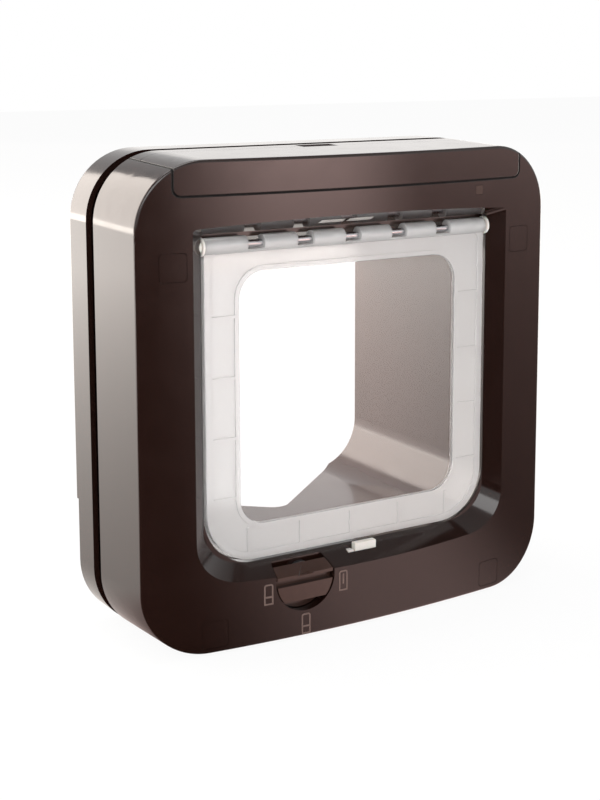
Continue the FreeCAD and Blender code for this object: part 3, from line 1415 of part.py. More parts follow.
contact_plates = []
contact_coils = []
for side, sign in (("Left", -1), ("Right", 1)):
    contact_plates.append(contact_plate(f"Plate{side}Front", sign, cell_front, tray_outer, cell_end))
    contact_plates.append(contact_plate(f"Plate{side}Back", sign, cell_back, tray_inner, cell_start))
    contact_coils.append(contact_coil(f"Coil{side}Front", sign, cell_front, tray_inner, cell_start))
    contact_coils.append(contact_coil(f"Coil{side}Back", sign, cell_back, tray_outer, cell_end))
node("contact_plates", fuse("ContactPlates", contact_plates))
node("contact_springs", fuse("ContactSprings", contact_coils))

# The circuit board under the deck, with its chip and the switch under the button.
board_top = board_foot + board_thickness
node("circuit_board", block("CircuitBoard", (-board_half, board_half), (board_front, board_back),
                            (board_foot, board_top)))
half_switch = switch_side / 2
switch_back = button_depth + half_switch
chip_start = switch_back + chip_gap
chip_left = (-board_half - chip_side) / 2
node("processor_chip", block("ProcessorChip", (chip_left, chip_left + chip_side),
                             (chip_start, chip_start + chip_side), (board_top, board_top + chip_height)))
switch_body = block("SwitchBody", (button_x - half_switch, button_x + half_switch),
                    (button_depth - half_switch, switch_back), (board_top, board_top + switch_height))
switch_plunger = rod("SwitchPlunger", "z", plunger_radius, (board_top + LAP, board_top + plunger_height),
                     (button_x, button_depth))
node("push_switch", fuse("PushSwitch", [switch_body, switch_plunger]))
button_stem = rod("ButtonStem", "z", button_radius, (button_foot, button_top), (button_x, button_depth))
button_brim = rod("ButtonBrim", "z", button_radius + button_flange, (button_foot, deck_foot - seam_gap),
                  (button_x, button_depth))
node("settings_button", fuse("SettingsButton", [button_stem, button_brim]))

# Small raised signs beside the dial, in the thin skin between two bows.


def sign_outline(name, x, z):
    """The outline of a door, round at its top, as a raised sign."""
    half = mark_breadth / 2
    top = z + mark_height
    outside = plate(f"{name}Outside", "front",
                    ((x - half, z), (x + half, z), (x + half, top), (x - half, top)),
                    (-PAST, wall), ((UPPER, mark_round),))
    inner = half - mark_line
    low = z + mark_line
    high = top - mark_line
    inside = plate(f"{name}Inside", "front",
                   ((x - inner, low), (x + inner, low), (x + inner, high), (x - inner, high)),
                   (-PAST - LAP, wall + LAP), ((UPPER, mark_round - mark_line),))
    return cut(name, outside, [inside])


def sign_bar(name, x, z, half, tall):
    """A bar in a sign: across it for a shut way, upright for an open one."""
    return block(name, (x - half, x + half), (-PAST, wall), (z, z + tall))


mark_bow = rod("MarkBow", "z", bow_radius + mark_raise, (-PAST, frame_side), (0, bow_radius))
mark_shapes = []
for name, x, z, shut in (("MarkLeft", -dial_x - mark_left, mark_side_z, True),
                         ("MarkRight", mark_right - dial_x, mark_side_z, False),
                         ("MarkFoot", -dial_x, mark_foot_z, True)):
    bar_foot = z + mark_height / 3
    if shut:
        bar = sign_bar(f"{name}Bar", x, bar_foot, mark_breadth / 2, mark_bar)
    else:
        bar = sign_bar(f"{name}Bar", x, bar_foot, mark_bar / 2, mark_height / 2)
    mark_shapes += [sign_outline(name, x, z), bar]
mark_skin = common("MarkSkin", fuse("MarkShapes", mark_shapes), mark_bow)
node("position_marks", cut("PositionMarks", mark_skin, [housing_outside]))

# The motor's lead runs up the right side to the board.


def lead_tube(name, points, bend, radius):
    """A round tube of straight runs joined by tangent bends."""
    spots = [Vector(as_size(x).number, at_depth(depth).number, as_size(z).number) for x, depth, z in points]
    edges = []
    start = spots[0]
    for before, corner, after in zip(spots, spots[1:], spots[2:]):
        back = (before - corner).normalize()
        ahead = (after - corner).normalize()
        entry = corner + back * bend.number
        leave = corner + ahead * bend.number
        middle = corner + (back + ahead) * (bend.number * (1 - math.sqrt(0.5)))
        edges.append(Part.makeLine(start, entry))
        edges.append(Part.Arc(entry, middle, leave).toShape())
        start = leave
    edges.append(Part.makeLine(start, spots[-1]))
    circle = Part.Wire(Part.makeCircle(radius.number, spots[0], spots[1] - spots[0]))
    tube = doc.addObject("Part::Feature", name)
    tube.Shape = Part.Wire(edges).makePipeShell([circle], True, True)
    return tube


lead_turn = motor_end + lead_run
lead_points = ((motor_end, pinion_depth, lead_low), (lead_turn, pinion_depth, lead_low),
               (lead_turn, lead_depth, lead_low), (lead_side, lead_depth, lead_low),
               (lead_side, lead_depth, lead_high), (lead_inner, lead_depth, lead_high),
               (lead_inner, lead_depth, board_foot))
node("motor_lead", lead_tube("MotorLead", lead_points, lead_bend, lead_radius))

# Every object is checked before the pieces are written.
doc.recompute()
for thing in doc.Objects:
    if "Invalid" in thing.State or "Error" in thing.State:
        raise RuntimeError(f"{thing.Name} did not compute")
    shape = getattr(thing, "Shape", None)
    if shape is not None and (shape.isNull() or not shape.isValid()):
        raise RuntimeError(f"{thing.Name} has no sound shape")

os.makedirs("parts", exist_ok=True)
for label, thing in nodes.items():
    if not thing.Shape.Solids or thing.Shape.Volume <= 0:
        raise RuntimeError(f"{label} is not solid")
    thing.Shape.exportStep(os.path.join("parts", f"{label}.step"))
print(f"{len(nodes)} pieces written")
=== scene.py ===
"""A cat flap for a door, dressed piece by piece in the order in which it is put together."""
import math
import bpy
from mathutils import Euler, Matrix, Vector


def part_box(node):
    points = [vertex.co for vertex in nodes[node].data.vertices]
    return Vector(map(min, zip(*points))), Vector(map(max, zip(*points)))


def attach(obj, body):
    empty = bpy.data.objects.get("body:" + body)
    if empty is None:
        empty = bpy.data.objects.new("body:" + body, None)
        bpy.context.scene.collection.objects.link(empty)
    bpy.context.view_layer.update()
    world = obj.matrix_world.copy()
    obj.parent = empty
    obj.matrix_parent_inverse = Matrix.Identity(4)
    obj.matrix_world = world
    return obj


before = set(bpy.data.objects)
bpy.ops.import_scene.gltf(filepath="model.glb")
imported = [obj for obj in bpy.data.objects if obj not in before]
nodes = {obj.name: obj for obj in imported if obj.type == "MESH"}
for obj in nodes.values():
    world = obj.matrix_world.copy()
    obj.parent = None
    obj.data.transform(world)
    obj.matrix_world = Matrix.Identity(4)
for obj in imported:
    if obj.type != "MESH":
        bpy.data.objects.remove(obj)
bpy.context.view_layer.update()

# The view: the photograph's eye stands to the left of the flap and a little above it. The
# picture is shifted a little, so that upright edges stay nearly upright.
EYE = (-0.3651, -0.6114, 0.2579)
LEVEL = math.radians(90)
TURN = math.radians(32.573)
NOD = math.radians(-8.89)
LEAN = math.radians(-0.079)
PICTURE = (600, 800)
FOCUS_PIXELS = 1561.6
FOCUS_AT = (340.0, 280.0)
SENSOR = 36
NEAREST = 0.01
camera = bpy.data.objects.new("view", bpy.data.cameras.new("view"))
bpy.context.scene.collection.objects.link(camera)
camera.location = EYE
camera.rotation_euler = Euler((LEVEL + NOD, LEAN, -TURN), "XYZ")
camera.data.sensor_width = SENSOR
camera.data.lens = FOCUS_PIXELS / PICTURE[1] * SENSOR
camera.data.shift_x = (PICTURE[0] / 2 - FOCUS_AT[0]) / PICTURE[1]
camera.data.shift_y = (FOCUS_AT[1] - PICTURE[1] / 2) / PICTURE[1]
camera.data.clip_start = NEAREST
bpy.context.scene.camera = camera
bpy.context.scene.view_settings.view_transform = "Standard"


# The room: a pale floor and a white surround. Both look white to the eye, in the gloss and
# through the clear flap, and the floor keeps a part of the object's shadow.


def linear(tint):
    """The linear colour of an sRGB hex value."""
    parts = [int(tint[place:place + 2], 16) / 255 for place in (1, 3, 5)]
    return [part / 12.92 if part <= 0.04045 else ((part + 0.055) / 1.055) ** 2.4 for part in parts] + [1.0]


def add(tree, kind, inputs=(), **settings):
    """One node with its settings, its values and its links."""
    made = tree.nodes.new(kind)
    for name, value in settings.items():
        setattr(made, name, value)
    for socket, value in dict(inputs).items():
        if isinstance(value, bpy.types.NodeSocket):
            tree.links.new(value, made.inputs[socket])
        else:
            made.inputs[socket].default_value = value
    return made


def bare_material(name):
    """A material with an empty node tree."""
    finish = bpy.data.materials.new(name)
    finish.use_nodes = True
    finish.node_tree.nodes.clear()
    return finish


def seen_plainly(tree):
    """One for rays from the eye, off gloss and through clear plastic, and nought for the rest."""
    ray = add(tree, "ShaderNodeLightPath")
    eye = add(tree, "ShaderNodeMath", {0: ray.outputs["Is Camera Ray"], 1: ray.outputs["Is Glossy Ray"]},
              operation="MAXIMUM")
    return add(tree, "ShaderNodeMath", {0: eye.outputs[0], 1: ray.outputs["Is Transmission Ray"]},
               operation="MAXIMUM").outputs[0]


ROOM_LIGHT = 0.86
# The surround is white up to about 15 degrees above the floor and dims towards a dark ceiling.
# Both heights are the sine of the angle.
DIMS_FROM = 0.25
CEILING_FROM = 0.8
CEILING_SHARE = 0.45
world = bpy.data.worlds.new("studio")
bpy.context.scene.world = world
world.use_nodes = True
air = world.node_tree
air.nodes.clear()
glow = add(air, "ShaderNodeMapRange", {"Value": seen_plainly(air), "To Min": ROOM_LIGHT, "To Max": 1.0})
toward = add(air, "ShaderNodeTexCoord").outputs["Generated"]
height = add(air, "ShaderNodeSeparateXYZ", {0: toward}).outputs["Z"]
dim = add(air, "ShaderNodeMapRange", {"Value": height, "From Min": DIMS_FROM, "From Max": CEILING_FROM,
                                      "To Min": 1.0, "To Max": CEILING_SHARE})
strength = add(air, "ShaderNodeMath", {0: glow.outputs[0], 1: dim.outputs[0]}, operation="MULTIPLY")
sky = add(air, "ShaderNodeBackground", {"Color": linear("#ffffff"), "Strength": strength.outputs[0]})
add(air, "ShaderNodeOutputWorld", {"Surface": sky.outputs[0]})

FLOOR_SIZE = 9
WHITE_SHARE = 0.93
bpy.ops.object.select_all(action="DESELECT")
bpy.ops.mesh.primitive_plane_add(size=FLOOR_SIZE, location=(0, 0, 0))
floor = bpy.context.object
floor.name = "floor"
floor_paint = bare_material("pale_floor")
tree = floor_paint.node_tree
paint = add(tree, "ShaderNodeBsdfDiffuse", {"Color": linear("#fbfbfb")})
white = add(tree, "ShaderNodeEmission", {"Color": linear("#ffffff"), "Strength": 1.0})
share = add(tree, "ShaderNodeMath", {0: seen_plainly(tree), 1: WHITE_SHARE}, operation="MULTIPLY")
mix = add(tree, "ShaderNodeMixShader", {0: share.outputs[0], 1: paint.outputs[0], 2: white.outputs[0]})
add(tree, "ShaderNodeOutputMaterial", {"Surface": mix.outputs[0]})
floor.data.materials.append(floor_paint)

# The painted reflection sheet: it lies on the floor and shows only in the gloss of the plastic, where it
# paints the reflections. In front it is dark, a painted dark reflection, but for one bright lane and a paler
# right-hand side, and behind it is bright.
REFLECTION_SHEET_HEIGHT = 0.0005
# The lane runs from the foot of the front out to the right. Its half width and its light grow
# with each metre towards the front.
LANE_SLANT = 0.47
LANE_HALF = 0.06
LANE_WIDENS = 0.25
LANE_LIGHT = 1.25
LANE_BRIGHTENS = 1.2
# The lane is full in its core and fades out at its edge, both in half widths from its middle.
LANE_CORE = 0.2
LANE_EDGE = 1.5
# The dusk round the lane grows with each metre from the object. To the right of the lane, also
# in half widths, up to four times as much is added.
DUSK_LIGHT = 0.03
DUSK_BRIGHTENS = 0.08
RIGHT_FROM = 0.5
RIGHT_FULL = 1.6
RIGHT_EXTRA = 4.0
# Behind the object the sheet's painted reflection brightens between two distances. Its light takes over from
# the front's between two places along Y.
BACK_NEAR = 0.15
BACK_FAR = 1.1
BACK_NEAR_LIGHT = 1.2
BACK_FAR_LIGHT = 4.4
BACK_FROM = -0.06
BACK_FULL = 0.04
# A colour mix has its two colours on these sockets, and its result on this output.
COLOUR_A = 6
COLOUR_B = 7
COLOUR_OUT = 2
bpy.ops.object.select_all(action="DESELECT")
bpy.ops.mesh.primitive_plane_add(size=FLOOR_SIZE, location=(0, 0, 0))
reflection_sheet = bpy.context.object
reflection_sheet.name = "painted_reflection_sheet"
for corner in reflection_sheet.data.vertices:
    corner.co.z = REFLECTION_SHEET_HEIGHT
reflection_sheet.visible_camera = False
reflection_sheet.visible_diffuse = False
reflection_sheet.visible_transmission = False
reflection_sheet.visible_volume_scatter = False
reflection_sheet.visible_shadow = False
# Its glow is painted reflection: it is seen in the gloss alone and lights nothing.
reflection_sheet_glow = bare_material("painted_reflection_sheet")
tree = reflection_sheet_glow.node_tree
spot = add(tree, "ShaderNodeTexCoord").outputs["Object"]
axes = add(tree, "ShaderNodeSeparateXYZ", {0: spot})
far = add(tree, "ShaderNodeVectorMath", {0: spot}, operation="LENGTH").outputs["Value"]
across = add(tree, "ShaderNodeMath", {0: axes.outputs["Y"], 1: LANE_SLANT, 2: axes.outputs["X"]},
             operation="MULTIPLY_ADD")
width = add(tree, "ShaderNodeMath", {0: axes.outputs["Y"], 1: -LANE_WIDENS, 2: LANE_HALF},
            operation="MULTIPLY_ADD")
aside = add(tree, "ShaderNodeMath", {0: across.outputs[0], 1: width.outputs[0]}, operation="DIVIDE")
off_lane = add(tree, "ShaderNodeMath", {0: aside.outputs[0]}, operation="ABSOLUTE")
lane = add(tree, "ShaderNodeMapRange", {"Value": off_lane.outputs[0], "From Min": LANE_CORE,
                                        "From Max": LANE_EDGE, "To Min": 1.0, "To Max": 0.0},
           interpolation_type="SMOOTHSTEP")
lane_glow = add(tree, "ShaderNodeMath", {0: axes.outputs["Y"], 1: -LANE_BRIGHTENS, 2: LANE_LIGHT},
                operation="MULTIPLY_ADD")
lane_light = add(tree, "ShaderNodeMath", {0: lane.outputs[0], 1: lane_glow.outputs[0]}, operation="MULTIPLY")
right = add(tree, "ShaderNodeMapRange", {"Value": aside.outputs[0], "From Min": RIGHT_FROM,
                                         "From Max": RIGHT_FULL, "To Max": RIGHT_EXTRA},
            interpolation_type="SMOOTHSTEP")
dusk = add(tree, "ShaderNodeMath", {0: far, 1: DUSK_BRIGHTENS, 2: DUSK_LIGHT}, operation="MULTIPLY_ADD")
dawn = add(tree, "ShaderNodeMath", {0: right.outputs[0], 1: dusk.outputs[0], 2: dusk.outputs[0]},
           operation="MULTIPLY_ADD")
front_light = add(tree, "ShaderNodeMath", {0: dawn.outputs[0], 1: lane_light.outputs[0]}, operation="ADD")
back_light = add(tree, "ShaderNodeMapRange", {"Value": far, "From Min": BACK_NEAR, "From Max": BACK_FAR,
                                              "To Min": BACK_NEAR_LIGHT, "To Max": BACK_FAR_LIGHT})
behind = add(tree, "ShaderNodeMapRange", {"Value": axes.outputs["Y"], "From Min": BACK_FROM,
                                          "From Max": BACK_FULL}, interpolation_type="SMOOTHSTEP")
level = add(tree, "ShaderNodeMix", {"Factor": behind.outputs[0], "A": front_light.outputs[0],
                                    "B": back_light.outputs[0]})
hue = add(tree, "ShaderNodeMix", {0: behind.outputs[0], COLOUR_A: linear("#ffdcd6"),
                                  COLOUR_B: linear("#fff8f1")}, data_type="RGBA")
glow = add(tree, "ShaderNodeEmission", {"Color": hue.outputs[COLOUR_OUT], "Strength": level.outputs[0]})
add(tree, "ShaderNodeOutputMaterial", {"Surface": glow.outputs[0]})
reflection_sheet.data.materials.append(reflection_sheet_glow)


# The lamps: a large soft box behind to the left, which also shines into the tunnel, a low one
# behind to the right for the top face, a weak one in front and one overhead.
LAMP_AIM = (0, 0, 0.1)
WARM = "#fff4ea"
WHITE = "#ffffff"


def soft_box(name, centre, wide, tall, watts, tint):
    """A rectangular lamp that faces the middle of the object."""
    lamp = bpy.data.objects.new(name, bpy.data.lights.new(name, "AREA"))
    bpy.context.scene.collection.objects.link(lamp)
    lamp.data.shape = "RECTANGLE"
    lamp.data.size = wide
    lamp.data.size_y = tall
    lamp.data.energy = watts
    lamp.data.color = linear(tint)[:3]
    lamp.location = centre
    lamp.rotation_euler = (Vector(LAMP_AIM) - Vector(centre)).to_track_quat("-Z", "Y").to_euler()


soft_box("side_lamp", centre=(-1.3, 1.35, 0.7), wide=2.3, tall=1.9, watts=62, tint=WARM)
soft_box("back_lamp", centre=(1.5, 2.7, 0.55), wide=1.8, tall=0.9, watts=1.7, tint=WARM)
soft_box("front_lamp", centre=(-0.9, -1.5, 1.0), wide=1.2, tall=1.0, watts=12, tint=WHITE)
soft_box("top_lamp", centre=(-0.2, 0.2, 1.6), wide=1.2, tall=1.2, watts=14, tint=WHITE)


# The indoor housing is injection-moulded ABS in dark brown, polished in the mould. Its wide
# front is bowed, and the long funnel walls lead in to the flap. It gets its finish with the
# battery cover, in the next section.
ABS_IOR = 1.54
PATCH = 0.012
# A noise seldom leaves the range from low to high. Rubbed patches begin a little above low.
NOISE_LOW = 0.3
NOISE_RUB = 0.35
NOISE_HIGH = 0.7
# A patch has this share of the given roughness, and a cloud this share of the given colour.
PATCH_POLISHED = 0.85
PATCH_RUBBED = 1.3
CLOUD_DARK = 0.94
CLOUD_PALE = 1.06


def moulded(name, tint, rough, grain, relief, patch=PATCH, ior=ABS_IOR, **skin_values):
    """Moulded plastic: a grain of a size and relief in metres, rubbed patches and faint clouds."""
    finish = bare_material(name)
    tree = finish.node_tree
    spot = add(tree, "ShaderNodeTexCoord").outputs["Object"]
    skin_grain = add(tree, "ShaderNodeTexNoise", {"Vector": spot, "Scale": 1 / grain, "Detail": 1.0})
    rub = add(tree, "ShaderNodeTexNoise", {"Vector": spot, "Scale": 1 / patch, "Detail": 3.0})
    matt = add(tree, "ShaderNodeMapRange", {"Value": rub.outputs["Fac"], "From Min": NOISE_RUB,
                                            "From Max": NOISE_HIGH, "To Min": rough * PATCH_POLISHED,
                                            "To Max": rough * PATCH_RUBBED})
    cloud = add(tree, "ShaderNodeMapRange", {"Value": rub.outputs["Fac"], "From Min": NOISE_LOW,
                                             "From Max": NOISE_HIGH, "To Min": CLOUD_DARK,
                                             "To Max": CLOUD_PALE})
    deep = add(tree, "ShaderNodeHueSaturation", {"Color": linear(tint), "Value": cloud.outputs[0]})
    bump = add(tree, "ShaderNodeBump", {"Height": skin_grain.outputs["Fac"], "Strength": 1.0,
                                        "Distance": relief})
    skin = add(tree, "ShaderNodeBsdfPrincipled", {"Base Color": deep.outputs[0], "Roughness": matt.outputs[0],
                                                  "IOR": ior, "Normal": bump.outputs[0], **skin_values})
    add(tree, "ShaderNodeOutputMaterial", {"Surface": skin.outputs[0]})
    return finish


def dress(finish, *names):
    """Gives a finish to pieces that are carried over from the frame."""
    for name in names:
        piece = nodes[name]
        piece.data.materials.clear()
        piece.data.materials.append(finish)


# Polished ABS gives the eye a deep shine with long, hardly visible ripples of about 45 mm.
brown_abs = moulded("brown_abs", "#1f100c", rough=0.11, grain=0.045, relief=0.00004)

# The battery cover wraps over the top edge of the housing and is lifted off by hand. The joint
# between the two is drawn as a dark groove in both, because shade and dust gather in it.
SEAM_GAP = 0.0002
TONGUE_REACH = 0.004
GROOVE_CORNER = 0.0035
GROOVE_HALF = 0.00026
GROOVE_EDGE = 0.0003
GROOVE_DEPTH = 0.0008
GROOVE_MATT = 0.7
# The cover's tongues reach down behind the housing, past the joint.
cover_low, cover_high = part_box("battery_cover")
groove_side = cover_high[0] + SEAM_GAP / 2
groove_foot = cover_low[2] + TONGUE_REACH
jointed_abs = brown_abs.copy()
jointed_abs.name = "jointed_abs"
tree = jointed_abs.node_tree
skin = tree.nodes["Principled BSDF"]
plain_colour = skin.inputs["Base Color"].links[0].from_socket
plain_matt = skin.inputs["Roughness"].links[0].from_socket
ripple = skin.inputs["Normal"].links[0].from_socket
spot = add(tree, "ShaderNodeTexCoord").outputs["Object"]
axes = add(tree, "ShaderNodeSeparateXYZ", {0: spot})
side = add(tree, "ShaderNodeMath", {0: axes.outputs["X"]}, operation="ABSOLUTE")
beyond = add(tree, "ShaderNodeMath", {0: side.outputs[0], 1: groove_side - GROOVE_CORNER},
             operation="SUBTRACT")
below = add(tree, "ShaderNodeMath", {0: groove_foot + GROOVE_CORNER, 1: axes.outputs["Z"]},
            operation="SUBTRACT")
corner = add(tree, "ShaderNodeCombineXYZ", {"X": beyond.outputs[0], "Y": below.outputs[0]})
outer = add(tree, "ShaderNodeVectorMath", {0: corner.outputs[0], 1: (0, 0, 0)}, operation="MAXIMUM")
reach = add(tree, "ShaderNodeVectorMath", {0: outer.outputs[0]}, operation="LENGTH")
signed_gap = add(tree, "ShaderNodeMath", {0: reach.outputs["Value"], 1: GROOVE_CORNER}, operation="SUBTRACT")
gap = add(tree, "ShaderNodeMath", {0: signed_gap.outputs[0]}, operation="ABSOLUTE")
groove = add(tree, "ShaderNodeMapRange", {"Value": gap.outputs[0], "From Min": GROOVE_HALF,
                                          "From Max": GROOVE_HALF + GROOVE_EDGE, "To Min": 1.0,
                                          "To Max": 0.0}).outputs[0]
shade = add(tree, "ShaderNodeMix", {0: groove, COLOUR_A: plain_colour, COLOUR_B: linear("#050302")},
            data_type="RGBA")
matt = add(tree, "ShaderNodeMath", {0: groove, 1: GROOVE_MATT, 2: plain_matt}, operation="MULTIPLY_ADD")
level = add(tree, "ShaderNodeMath", {0: 1.0, 1: groove}, operation="SUBTRACT")
bump = add(tree, "ShaderNodeBump", {"Height": level.outputs[0], "Strength": 1.0, "Distance": GROOVE_DEPTH,
                                    "Normal": ripple})
tree.links.new(shade.outputs[COLOUR_OUT], skin.inputs["Base Color"])
tree.links.new(matt.outputs[0], skin.inputs["Roughness"])
tree.links.new(bump.outputs[0], skin.inputs["Normal"])
dress(jointed_abs, "front_housing", "battery_cover")

# The tunnel and the plate behind the housing are one moulding in the housing's ABS, given a paler colour as
# painted light from outdoors. It is drawn off its long mould with a satin wall, which spreads the daylight
# from outdoors.
painted_light_satin_abs = moulded("painted_light_satin_abs", "#42312b", rough=0.16, grain=0.03, relief=0.00002)
dress(painted_light_satin_abs, "tunnel_housing")

# The outdoor frame is moulded in the housing's brown ABS to the same outline, with a thicker
# hood above a step. Four long screws draw it up against the door from indoors.
dress(brown_abs, "outdoor_frame")

# The aerial is a ring of thin enamelled copper wire under amber tape. Its turns run round the
# way through, and show through the tape as fine lines.
WIRE_PITCH = 0.0008
# A wave texture at a scale of one repeats at this length.
WAVE_LENGTH = 0.314
WIRE_WANDER = 0.4
WIRE_RELIEF = 0.0001
wound_tape = bare_material("wound_tape")
tree = wound_tape.node_tree
spot = add(tree, "ShaderNodeTexCoord").outputs["Object"]
# The real turns are 0.2 mm apart and are drawn 0.8 mm apart, so that they show.
turns = add(tree, "ShaderNodeTexWave", {"Vector": spot, "Scale": WAVE_LENGTH / WIRE_PITCH,
                                        "Distortion": WIRE_WANDER}, bands_direction="Y")
tone = add(tree, "ShaderNodeMix", {0: turns.outputs["Fac"], COLOUR_A: linear("#6e3a17"),
                                   COLOUR_B: linear("#b06a2c")}, data_type="RGBA")
bump = add(tree, "ShaderNodeBump", {"Height": turns.outputs["Fac"], "Strength": 1.0,
                                    "Distance": WIRE_RELIEF})
skin = add(tree, "ShaderNodeBsdfPrincipled", {"Base Color": tone.outputs[COLOUR_OUT], "Roughness": 0.35,
                                              "IOR": 1.5, "Normal": bump.outputs[0]})
add(tree, "ShaderNodeOutputMaterial", {"Surface": skin.outputs[0]})
dress(wound_tape, "antenna_coil")

# The battery tray, the latch guide, the dial's cam and the push switch are black glass-filled
# nylon. Its spark-eroded grain of about 0.6 mm gives a dull, even black.
black_nylon = moulded("black_nylon", "#17171a", rough=0.42, grain=0.0006, relief=0.00003)
dress(black_nylon, "battery_tray", "latch_guide", "dial_cam", "push_switch")

# Four round cells lie in the tray: steel cans in a smooth printed film, blue with a pale band
# near one end, with fine scuffs in its shine. The steel is bare at both caps.
CAP_BARE = 0.0013
BAND_LONG = 0.0095
SCUFF_SIZE = 0.0025
FILM_SMOOTH = 0.14
FILM_SCUFFED = 0.34
cell_low, cell_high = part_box("battery_cell_right_front")
printed_film = bare_material("printed_film")
tree = printed_film.node_tree
spot = add(tree, "ShaderNodeTexCoord").outputs["Object"]
axes = add(tree, "ShaderNodeSeparateXYZ", {0: spot})
along = add(tree, "ShaderNodeMath", {0: axes.outputs["X"]}, operation="ABSOLUTE").outputs[0]
film_start = add(tree, "ShaderNodeMath", {0: along, 1: cell_low[0] + CAP_BARE}, operation="GREATER_THAN")
film_end = add(tree, "ShaderNodeMath", {0: along, 1: cell_high[0] - CAP_BARE}, operation="LESS_THAN")
film = add(tree, "ShaderNodeMath", {0: film_start.outputs[0], 1: film_end.outputs[0]}, operation="MULTIPLY")
band = add(tree, "ShaderNodeMath", {0: along, 1: cell_high[0] - BAND_LONG}, operation="GREATER_THAN")
wrap = add(tree, "ShaderNodeMix", {0: band.outputs[0], COLOUR_A: linear("#27425c"),
                                   COLOUR_B: linear("#a4abb2")}, data_type="RGBA")
can = add(tree, "ShaderNodeMix", {0: film.outputs[0], COLOUR_A: linear("#c3c4c6"),
                                  COLOUR_B: wrap.outputs[COLOUR_OUT]}, data_type="RGBA")
metal = add(tree, "ShaderNodeMath", {0: 1.0, 1: film.outputs[0]}, operation="SUBTRACT")
scuff = add(tree, "ShaderNodeTexNoise", {"Vector": spot, "Scale": 1 / SCUFF_SIZE, "Detail": 3.0})
matt = add(tree, "ShaderNodeMapRange", {"Value": scuff.outputs["Fac"], "To Min": FILM_SMOOTH,
                                        "To Max": FILM_SCUFFED})
skin = add(tree, "ShaderNodeBsdfPrincipled", {"Base Color": can.outputs[COLOUR_OUT],
                                              "Metallic": metal.outputs[0], "Roughness": matt.outputs[0]})
add(tree, "ShaderNodeOutputMaterial", {"Surface": skin.outputs[0]})
dress(printed_film, "battery_cell_left_front", "battery_cell_left_back", "battery_cell_right_front",
      "battery_cell_right_back")

# The hinge rod, the screws, the springs and the contacts are bright drawn steel, nickelled
# against rust. Fine lines from the die spread its highlights.
# The lines are 25 times as long as they are wide.
LINE_STRETCH = 0.04
# Along them the given roughness is smaller and larger by these shares.
LINE_SMOOTH = 0.7
LINE_ROUGH = 1.3
LINE_RELIEF = 0.00001
LINE_BUMP = 0.6


def drawn_metal(name, tint, rough, line):
    """Metal with lines that run along X, a given distance apart in metres."""
    finish = bare_material(name)
    tree = finish.node_tree
    spot = add(tree, "ShaderNodeTexCoord").outputs["Object"]
    run = add(tree, "ShaderNodeMapping", {"Vector": spot, "Scale": (LINE_STRETCH, 1, 1)})
    lines = add(tree, "ShaderNodeTexNoise", {"Vector": run.outputs[0], "Scale": 1 / line, "Detail": 2.0})
    matt = add(tree, "ShaderNodeMapRange", {"Value": lines.outputs["Fac"], "From Min": NOISE_LOW,
                                            "From Max": NOISE_HIGH, "To Min": rough * LINE_SMOOTH,
                                            "To Max": rough * LINE_ROUGH})
    bump = add(tree, "ShaderNodeBump", {"Height": lines.outputs["Fac"], "Strength": LINE_BUMP,
                                        "Distance": LINE_RELIEF})
    skin = add(tree, "ShaderNodeBsdfPrincipled", {"Base Color": linear(tint), "Metallic": 1.0,
                                                  "Roughness": matt.outputs[0], "Normal": bump.outputs[0]})
    add(tree, "ShaderNodeOutputMaterial", {"Surface": skin.outputs[0]})
    return finish


drawn_steel = drawn_metal("drawn_steel", "#c2c3c6", rough=0.26, line=0.0005)
dress(drawn_steel, "contact_plates", "contact_springs", "hinge_rod", "fixing_screws", "housing_screws",
      "dial_screw", "guide_screws", "fork_spring")

# The board is glass-fibre laminate under green solder mask. Its copper tracks stand a hair
# proud and look paler through the mask.
TRACK_PITCH = 0.0026
TRACK_UNEVEN = 0.7
TRACK_HALF = 0.1
TRACK_EDGE = 0.04
TRACK_RELIEF = 0.00004
solder_mask = bare_material("solder_mask")
tree = solder_mask.node_tree
spot = add(tree, "ShaderNodeTexCoord").outputs["Object"]
# A track's half width and its soft edge are shares of the pitch.
cells = add(tree, "ShaderNodeTexVoronoi", {"Vector": spot, "Scale": 1 / TRACK_PITCH,
                                           "Randomness": TRACK_UNEVEN}, feature="DISTANCE_TO_EDGE")
track = add(tree, "ShaderNodeMapRange", {"Value": cells.outputs["Distance"], "From Min": TRACK_HALF,
                                         "From Max": TRACK_HALF + TRACK_EDGE, "To Min": 1.0,
                                         "To Max": 0.0})
green = add(tree, "ShaderNodeMix", {0: track.outputs[0], COLOUR_A: linear("#12492a"),
                                    COLOUR_B: linear("#2f7a48")}, data_type="RGBA")
bump = add(tree, "ShaderNodeBump", {"Height": track.outputs[0], "Strength": 1.0, "Distance": TRACK_RELIEF})
skin = add(tree, "ShaderNodeBsdfPrincipled", {"Base Color": green.outputs[COLOUR_OUT], "Roughness": 0.28,
                                              "IOR": 1.5, "Normal": bump.outputs[0]})
add(tree, "ShaderNodeOutputMaterial", {"Surface": skin.outputs[0]})
dress(solder_mask, "circuit_board")

# Chip capacitors stand on the board: each is a dull, pale block of fired ceramic with a bright
# tinned cap over each end, soldered down by the caps.
CHIP_LONG = 0.0026
CHIP_WIDE = 0.0014
CHIP_TALL = 0.0008
CAP_LONG = 0.0005
CAP_PROUD = 0.00006
CAP_ROUNDING_STEPS = 2
# The block has two finishes, and the tinned one is the second.
TINNED = 1
